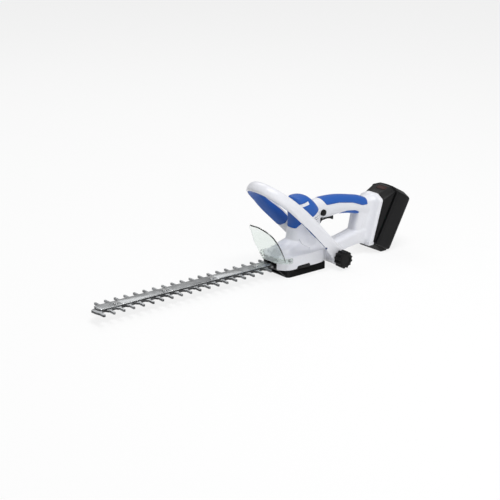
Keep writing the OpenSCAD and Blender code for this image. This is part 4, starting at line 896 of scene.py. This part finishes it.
class TRIMMER_OT_front_handle(bpy.types.Operator):
    """Model the loop handle with its soft inner side"""

    bl_idname = "trimmer.front_handle"
    bl_label = "Front handle"

    def execute(self, context):
        line = loop_line()
        forms = [loft("loop_shell_form", [loop_ring(line, k, 1) for k in range(len(line))])]
        forms += [pivot_rod("foot", FOOT_D, side * FOOT_IN, side * (FOOT_IN + FOOT_T)) for side in (-1, 1)]
        shell = blend_forms(join(forms, "loop_shell"), LOOP_GRID, 3)
        cut(shell, pivot_rod("stud_way", 13.2, -60, 60))
        finish(smooth(shell, 60), "front_handle", "white_abs", "front_handle")
        first = next(k for k, p in enumerate(line) if p.x >= PAD_END_S)
        rings = [loop_ring(line, k, -1, -PAD_OVERLAP) for k in range(first, len(line) - first)]
        for k, share in enumerate(PAD_END_SHARES):
            rings[k], rings[-1 - k] = shrunk(rings[k], share), shrunk(rings[-1 - k], share)
        finish(smooth(loft("loop_pad", rings), 50), "front_handle", "blue_tpe", "front_handle_pad")
        for side, name in SIDES:
            strip = smooth(self.edge_line(side, "loop_pad_shade_line_" + name), 60)
            # the strip and its eye take the blue rubber darkened to a painted shade
            finish(strip, "front_handle", "blue_tpe", look="blue_tpe_painted_shade")
        return {"FINISHED"}

    def edge_line(self, side, name):
        """Thin strip along the leg's lower edge where the pad parts, ending in a small round eye; its dark
        blue is painted shade.
        """
        rings = []
        for k in range(25):
            s = lerp(LINE_END_S, ARCH_S + 2, k / 24)
            a, b = leg_halves(s)
            y, d = leg_y(s) + a * 0.93, 1.7 - b * 0.93
            rings.append([tuple(loop_point(s, side * (y + SHADE_LINE_R * math.cos(t)), d + SHADE_LINE_R * math.sin(t)))
                          for t in turns(12)])
        line = loft("pad_shade_line_form", rings)
        a, b = leg_halves(LINE_END_S)
        y = leg_y(LINE_END_S) + a * 0.9
        start, end = (loop_point(LINE_END_S, side * q, 2.2 - b * 0.93) for q in (y - 2, y + 0.9))
        return join([line, rod("pad_eye", EYE_D, start, end, 24)], name)


GUARD_T = 2.4
# x, z, half width
GUARD = [(-53, 34, 38.9), (-56.5, 43, 39.6), (-60, 50, 40.2), (-63.3, 56.6, 40.4), (-67, 64.5, 39.6),
         (-70.7, 72.6, 37.7), (-79, 86.9, 32.9), (-88.1, 97.3, 26.2), (-96, 104.6, 15), (-101, 107.4, 9.4),
         (-104, 108.6, 4)]


class TRIMMER_OT_guard(bpy.types.Operator):
    """Model the clear hand guard with its collar"""

    bl_idname = "trimmer.guard"
    bl_label = "Hand guard"

    def execute(self, context):
        guard = cut(self.tongue("guard_screen"), self.collar(), "UNION")
        finish(smooth(bevel(guard, 0.5, 50), 35), "root", "guard_pc", "guard")
        return {"FINISHED"}

    def tongue(self, name):
        """A sheet bent to the guard's sections, then given its thickness."""
        columns = [-1 + 2 * j / 32 for j in range(33)]
        rows = []
        for k, (x, z, half) in enumerate(spread(GUARD, 5)):
            bulge = lerp(8, 1, min(1, k / 30))
            rows.append([(x - bulge * (1 - abs(side) ** 2.4), half * side, z) for side in columns])
        return modify(face_outwards(sheet(name, rows)), "SOLIDIFY", thickness=GUARD_T * MM, offset=0)

    def collar(self):
        """The band that wraps the front of the skirt."""
        bands = []
        for g, z0, z1 in ((GUARD_T + 0.05, 30, 39), (0.35, 25, 45)):
            b = SKIRT_B + g
            outline = both_sides((-60.5 - g, 19 + g / 2, 5), (-49 - g * 0.8, b, 9), (50, b, 4))
            bands.append(plate("collar", outline, z0, z1))
        return cut(cut(*bands), block("rear_cut", (-36, -60, 20), (80, 60, 50)))


SCALLOPS, SCALLOP_R, SCALLOP_OUT = 12, 4.2, 2.4
KNOB_GAP, KNOB_H, DISH_H = 1.2, 17.8, 0.7


class TRIMMER_OT_knobs(bpy.types.Operator):
    """Model the scalloped clamping knobs"""

    bl_idname = "trimmer.knobs"
    bl_label = "Clamping knobs"

    def execute(self, context):
        knob = self.knob()
        for side, name in SIDES:
            piece = copy_of(knob, "knob_" + name + "_grip")
            if side > 0:
                piece.data.transform(Matrix.Scale(-1, 4, (0, 1, 0)))
                face_outwards(piece)
            finish(smooth(piece, 35), "knob_" + name, "knob_plastic", "knob_" + name)
        bpy.data.objects.remove(knob)
        return {"FINISHED"}

    def outline(self, radius):
        """Round outline with scallops bitten out of it."""
        reach, half = KNOB_D / 2 + SCALLOP_OUT, math.pi / SCALLOPS
        ring = []
        for a in turns(240):
            near = (a + half) % (2 * half) - half
            off = reach * math.sin(near)
            dip = reach * math.cos(near) - math.sqrt(max(0, SCALLOP_R ** 2 - off ** 2))
            edge = radius if abs(off) >= SCALLOP_R else min(radius, dip)
            ring.append((PIVOT[0] + edge * math.cos(a), PIVOT[1] + edge * math.sin(a)))
        return ring

    def knob(self):
        """The left knob: crown, raised face, dish and the way for its stud."""
        start = -FOOT_IN - FOOT_T - KNOB_GAP
        top = start - KNOB_H
        crown = bevel(prism("knob_crown", self.outline(KNOB_D / 2 + 0.3), top + 1, start), 0.9, 50, 3)
        cut(crown, bevel(pivot_rod("knob_face", KNOB_D - 5.5, start - 10, top, 72), 0.9, 50, 3), "UNION")
        cut(crown, pivot_rod("knob_dish", KNOB_D - 15, top + DISH_H, start - 30, 72))
        return cut(crown, pivot_rod("stud_way", 8.6, start + 2, start - 14))


LAST_TOOTH, TOOTH_PITCH, BAR_FRONT, BAR_TOP = 61, 21, -457, 25.15
FRONT_TOOTH = [(-465.8, -1, 0.1), (-465.4, -10, 4), (-462.8, -20, 2), (-462.8, -32.2, 2.6),
               (-457.2, -32.2, 2.6), (-457.2, -20, 2), (-452, -12, 5), (-438, -12, 0.1), (-438, -3, 0.1)]
# the bolts' first place and step are in tooth pitches; BOLT_CLEAR stays level round each
BOLTS, BOLT_START, BOLT_STEP, BOLT_CLEAR = 4, 1.6, 5.1, 6.6
FLANGE_B, FLANGE_T, SECTION_B, SECTION_H = 12.5, 1.2, 11.7, 0.9


class TRIMMER_OT_blades(bpy.types.Operator):
    """Model the guide bar's pressed sections and the blades' front teeth"""

    bl_idname = "trimmer.blades"
    bl_label = "Blades and guide bar"

    def execute(self, context):
        self.guide_bar()
        for node in ("blade_upper", "blade_lower"):
            low, high = (c.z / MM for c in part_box(node))
            blade = merged_copy(node, node + "_ground")
            cut(blade, block("rear_tooth", (-LAST_TOOTH - 14, -40, 15), (-LAST_TOOTH + 14, -13.5, 28)))
            cut(blade, plate("front_tooth", rounded(FRONT_TOOTH), low, high), "UNION")
            finish(smooth(bevel(blade, 0.2, 50, 1), 30), node, "blade_steel", node)
        return {"FINISHED"}

    def guide_bar(self):
        bar = merged_copy("guide_bar", "guide_bar_pressing")
        cut(bar, block("old_relief", (-470, -20, BAR_TOP), (-40, 20, BAR_TOP + 20)))
        rear = -LAST_TOOTH - 3
        flange = both_sides((BAR_FRONT, -FLANGE_B, 8), (rear, -FLANGE_B, 1))
        cut(bar, plate("flange", flange, BAR_TOP - FLANGE_T, BAR_TOP - 0.05), "UNION")
        bolts = [-LAST_TOOTH - TOOTH_PITCH * (BOLT_START + BOLT_STEP * k) for k in range(BOLTS)]
        ends = [BAR_FRONT - 5.5] + bolts[::-1] + [rear + 6]
        for front, back in zip(ends, ends[1:]):
            x0, x1 = front + BOLT_CLEAR, back - BOLT_CLEAR
            rings = [[(x, y, BAR_TOP + up)
                      for x, y in both_sides((x0 + g, g - SECTION_B, 4), (x1 - g, g - SECTION_B, 4))]
                     for g, up in ((0, -0.6), (0, 0), (0.8, SECTION_H))]
            cut(bar, loft("pressed_section", rings), "UNION")
        for x in bolts:
            cut(bar, rod("bolt_hole", 5.4, (x, 0, BAR_TOP - 6), (x, 0, BAR_TOP + 6), 32))
        finish(smooth(bevel(bar, 0.25, 40), 30), "root", "bar_steel", "guide_bar")


class TRIMMER_OT_small_mouldings(bpy.types.Operator):
    """Round the edges of the base cover, trigger, lock-off button and latch, and seat the case screws"""

    bl_idname = "trimmer.small_mouldings"
    bl_label = "Small mouldings"

    def execute(self, context):
        radius = context.scene.trimmer_sizes.edge_round
        for node, body, slot, share, extras in (
                ("base_cover", "root", "black_nylon", 0.8, self.base_extras()),
                ("trigger", "trigger", "control_plastic", 1.0, ()),
                ("lock_button", "lock_button", "control_plastic", 0.7, ()),
                ("battery_latch", "battery_latch", "latch_plastic", 0.8, ())):
            finish(eased_copy(node, node + "_moulding", radius * share, extras), body, slot, node)
        # the front case screw lies under the deck, so its head is let into the wall there
        screws = merged_copy("housing_screws", "housing_screw_set")
        cut(screws, block("under_deck", (-46, 17.5, 45), (-38, 30, 50)))
        finish(smooth(screws, 40), "root", "screw_steel", "housing_screws")
        return {"FINISHED"}

    def base_extras(self):
        """The cover's rim where it stands on the ground, and the cheek beside the blades' mouth."""
        rim = plate("rim", both_sides((-45, -31, 0.5), (-41.5, -37, 7), (52, -37, 5)), 0, 1.7)
        cut(rim, plate("rim_inside", both_sides((-40, -33, 4), (48, -33, 4)), -1, 3))
        return rim, prism("cheek", [(-54, 12), (-59, 18.95), (-60, 28.6), (-46, 28.6), (-46, 12)], -18.6, -14)


SLIDE_FOOT, SLIDE_LEAN, PACK_L, PACK_B, SPLIT_V = (188.76, 19.54), math.radians(29), 116, 34.3, -2
# across and up the slide
PACK_ARCH = [(-60, -60), (60, -60), (60, 102), (PACK_B, 113.6), (PACK_B * 0.5, 122), (0, 123),
             (-PACK_B * 0.5, 122), (-PACK_B, 113.6), (-60, 102)]
# place behind the slide, extra half width, what is trimmed at both ends
REAR_SHELL = ((SPLIT_V, 0.2, 0), (SPLIT_V + 0.3, 2.4, 0), (SPLIT_V + 1.2, 3.1, 0), (6, 3.6, 0), (20, 4.6, 0),
              (32, 5.4, 0.2), (35, 5.0, 1.0), (37, 3.8, 2.4), (38, 1.2, 4.6))
RECESSES, RECESS_W, RECESS_V0, RECESS_V1 = (34, 46, 58), 5, 14, 31


def pack_place(across, v, up):
    """A point of the battery: v to the rear across its slide, up along the slide."""
    return (SLIDE_FOOT[0] + v * math.cos(SLIDE_LEAN) + up * math.sin(SLIDE_LEAN), across,
            SLIDE_FOOT[1] - v * math.sin(SLIDE_LEAN) + up * math.cos(SLIDE_LEAN))


def pack_form(name, *sections):
    """A loft through sections (v, extra half width, trim) of the pack, each with an arched top."""
    rings = []
    for v, wide, trim in sections:
        b, low, high = PACK_B + wide, trim, PACK_L + 7 - trim
        outline = rounded([(-b, low, 4), (b, low, 4), (b, high - 8.5, 4), (b * 0.5, high - 0.8, 14),
                           (0, high, 20), (-b * 0.5, high - 0.8, 14), (-b, high - 8.5, 4)])
        rings.append([pack_place(y, v, up) for y, up in outline])
    return loft(name, rings)


class TRIMMER_OT_battery(bpy.types.Operator):
    """Model the battery's two shells with the ridge where they meet"""

    bl_idname = "trimmer.battery"
    bl_label = "Battery"

    def execute(self, context):
        case = merged_copy("battery_case", "battery_case_moulding")
        groove = pack_form("groove", (-5.2, 8, -8), (SPLIT_V + 0.2, 8, -8))
        cut(groove, pack_form("groove_floor", (-5.4, -2.4, 2.4), (SPLIT_V + 0.4, -1.9, 1.9)))
        cut(case, groove)
        arch = [[pack_place(across, v, up) for across, up in PACK_ARCH] for v in (-60, 10)]
        cut(case, loft("arched_top", arch), "INTERSECT")
        bevel(case, context.scene.trimmer_sizes.edge_round, 30)
        finish(smooth(case, 40), "battery", "battery_plastic", "battery_case")
        rear = pack_form("battery_rear_moulding", *REAR_SHELL)
        foot = merged_copy("battery_rear", "battery_foot")
        cut(foot, block("above_foot", (150, -60, 14), (300, 60, 220)))
        cut(rear, foot, "UNION")
        cut(rear, pack_form("cell_bay", (SPLIT_V - 1, -1.7, 5), (35, -1.7, 5)))
        for side in (-1, 1):
            for low in RECESSES:
                high = low + RECESS_W
                corners = (RECESS_V0, low), (RECESS_V1, low), (RECESS_V1, high), (RECESS_V0, high)
                recess = [pack_place(0, *corner)[::2] for corner in corners]
                cut(rear, prism("finger_recess", recess, *sorted((side * 39.3, side * 46))))
        finish(smooth(bevel(rear, 0.5, 40), 40), "battery", "battery_plastic", "battery_rear")
        return {"FINISHED"}


class TRIMMER_OT_stage(bpy.types.Operator):
    """Set the floor, the soft lamps, the white surround and the camera"""

    bl_idname = "trimmer.stage"
    bl_label = "Studio"

    def execute(self, context):
        self.floor()
        self.lamps()
        self.surround(context.scene)
        self.camera(context.scene)
        return {"FINISHED"}

    def floor(self):
        only()
        bpy.ops.mesh.primitive_plane_add(size=60)
        floor = fresh("studio_floor")
        floor.location.z = CAD_BOX[0][2]
        material, tree, shader, _ = new_finish("white_paper_sweep")
        set_shader(shader, Base_Color=(*linear("F2F2F2"), 1), Roughness=0.9)
        # seen straight on, the paper is pure white; it still takes the soft shadow under the part
        out = next(n for n in tree.nodes if n.type == "OUTPUT_MATERIAL")
        glow = add(tree, "Emission", {"Color": (1, 1, 1, 1), "Strength": 1.0})
        path = add(tree, "LightPath")
        clear = add(tree, "Math", {"operation": "MAXIMUM"},
                    {0: path.outputs["Is Glossy Ray"], 1: path.outputs["Is Transmission Ray"]})
        seen = add(tree, "Math", {"operation": "MAXIMUM"}, {0: clear, 1: path.outputs["Is Camera Ray"]})
        share = add(tree, "Math", {"operation": "MULTIPLY", 1: 0.8}, {0: seen})
        feed(tree, add(tree, "MixShader", links={0: share, 1: shader, 2: glow}), out, "Surface")
        only(floor)
        floor.data.materials.append(material)

    def lamps(self):
        # places and sizes in metres, power in watts
        for name, place, size, power in (
                ("key_softbox", (-0.1, -0.7, 2.6), 1.3, 46),
                ("fill_softbox", (-0.2, -2.5, 0.9), 1.4, 15),
                ("back_softbox", (0.6, 1.6, 2.0), 1.2, 12)):
            only()
            bpy.ops.object.light_add(type="AREA", location=place)
            lamp = fresh(name)
            lamp.data.size, lamp.data.energy = size, power
            lamp.rotation_euler = (Vector((0, 0, 0.06)) - lamp.location).to_track_quat("-Z", "Y").to_euler()

    def surround(self, scene):
        world = bpy.data.worlds.new("white_surround")
        scene.world = world
        world.use_nodes = True
        tree = world.node_tree
        tree.nodes.clear()
        path = add(tree, "LightPath")
        direct = add(tree, "Math", {"operation": "MAXIMUM"},
                     {0: path.outputs["Is Camera Ray"], 1: path.outputs["Is Transmission Ray"]})
        level = add(tree, "MapRange", {"To Min": 0.32, "To Max": 1.0}, {"Value": direct})
        sky = add(tree, "Background", {"Color": (1, 1, 1, 1)}, {"Strength": level})
        add(tree, "OutputWorld", links={"Surface": sky})

    def camera(self, scene):
        only()
        bpy.ops.object.camera_add(location=(-1.7793, -2.0730, 0.9467))
        camera = fresh("studio_camera")
        aim = Vector((-0.1086, 0, 0.0610)) - camera.location
        camera.rotation_euler = aim.to_track_quat("-Z", "Y").to_euler()
        camera.data.lens = 106.56
        camera.data.sensor_width = 36
        camera.data.clip_end = 100
        scene.camera = camera
        scene.view_settings.view_transform = "Standard"


STEPS = (
    TRIMMER_OT_finishes, TRIMMER_OT_housing, TRIMMER_OT_pads, TRIMMER_OT_front_handle, TRIMMER_OT_guard,
    TRIMMER_OT_knobs, TRIMMER_OT_blades, TRIMMER_OT_small_mouldings, TRIMMER_OT_battery, TRIMMER_OT_stage,
)


class TRIMMER_PT_panel(bpy.types.Panel):
    """Steps that dress the trimmer, in order"""

    bl_label = "Hedge trimmer"
    bl_idname = "TRIMMER_PT_panel"
    bl_space_type = "VIEW_3D"
    bl_region_type = "UI"
    bl_category = "Trimmer"

    def draw(self, context):
        for group in (context.scene.trimmer_sizes, context.scene.trimmer_colours):
            for name in group.__annotations__:
                self.layout.prop(group, name)
        for step in STEPS:
            self.layout.operator(step.bl_idname)


CLASSES = (TrimmerSizes, TrimmerColours) + STEPS + (TRIMMER_PT_panel,)


def register():
    for cls in CLASSES:
        bpy.utils.register_class(cls)
    bpy.types.Scene.trimmer_sizes = bpy.props.PointerProperty(type=TrimmerSizes)
    bpy.types.Scene.trimmer_colours = bpy.props.PointerProperty(type=TrimmerColours)


def unregister():
    del bpy.types.Scene.trimmer_colours
    del bpy.types.Scene.trimmer_sizes
    for cls in reversed(CLASSES):
        bpy.utils.unregister_class(cls)


def main():
    register()
    for step in STEPS:
        group, name = step.bl_idname.split(".")
        getattr(getattr(bpy.ops, group), name)()
    only()


if __name__ == "__main__":
    main()
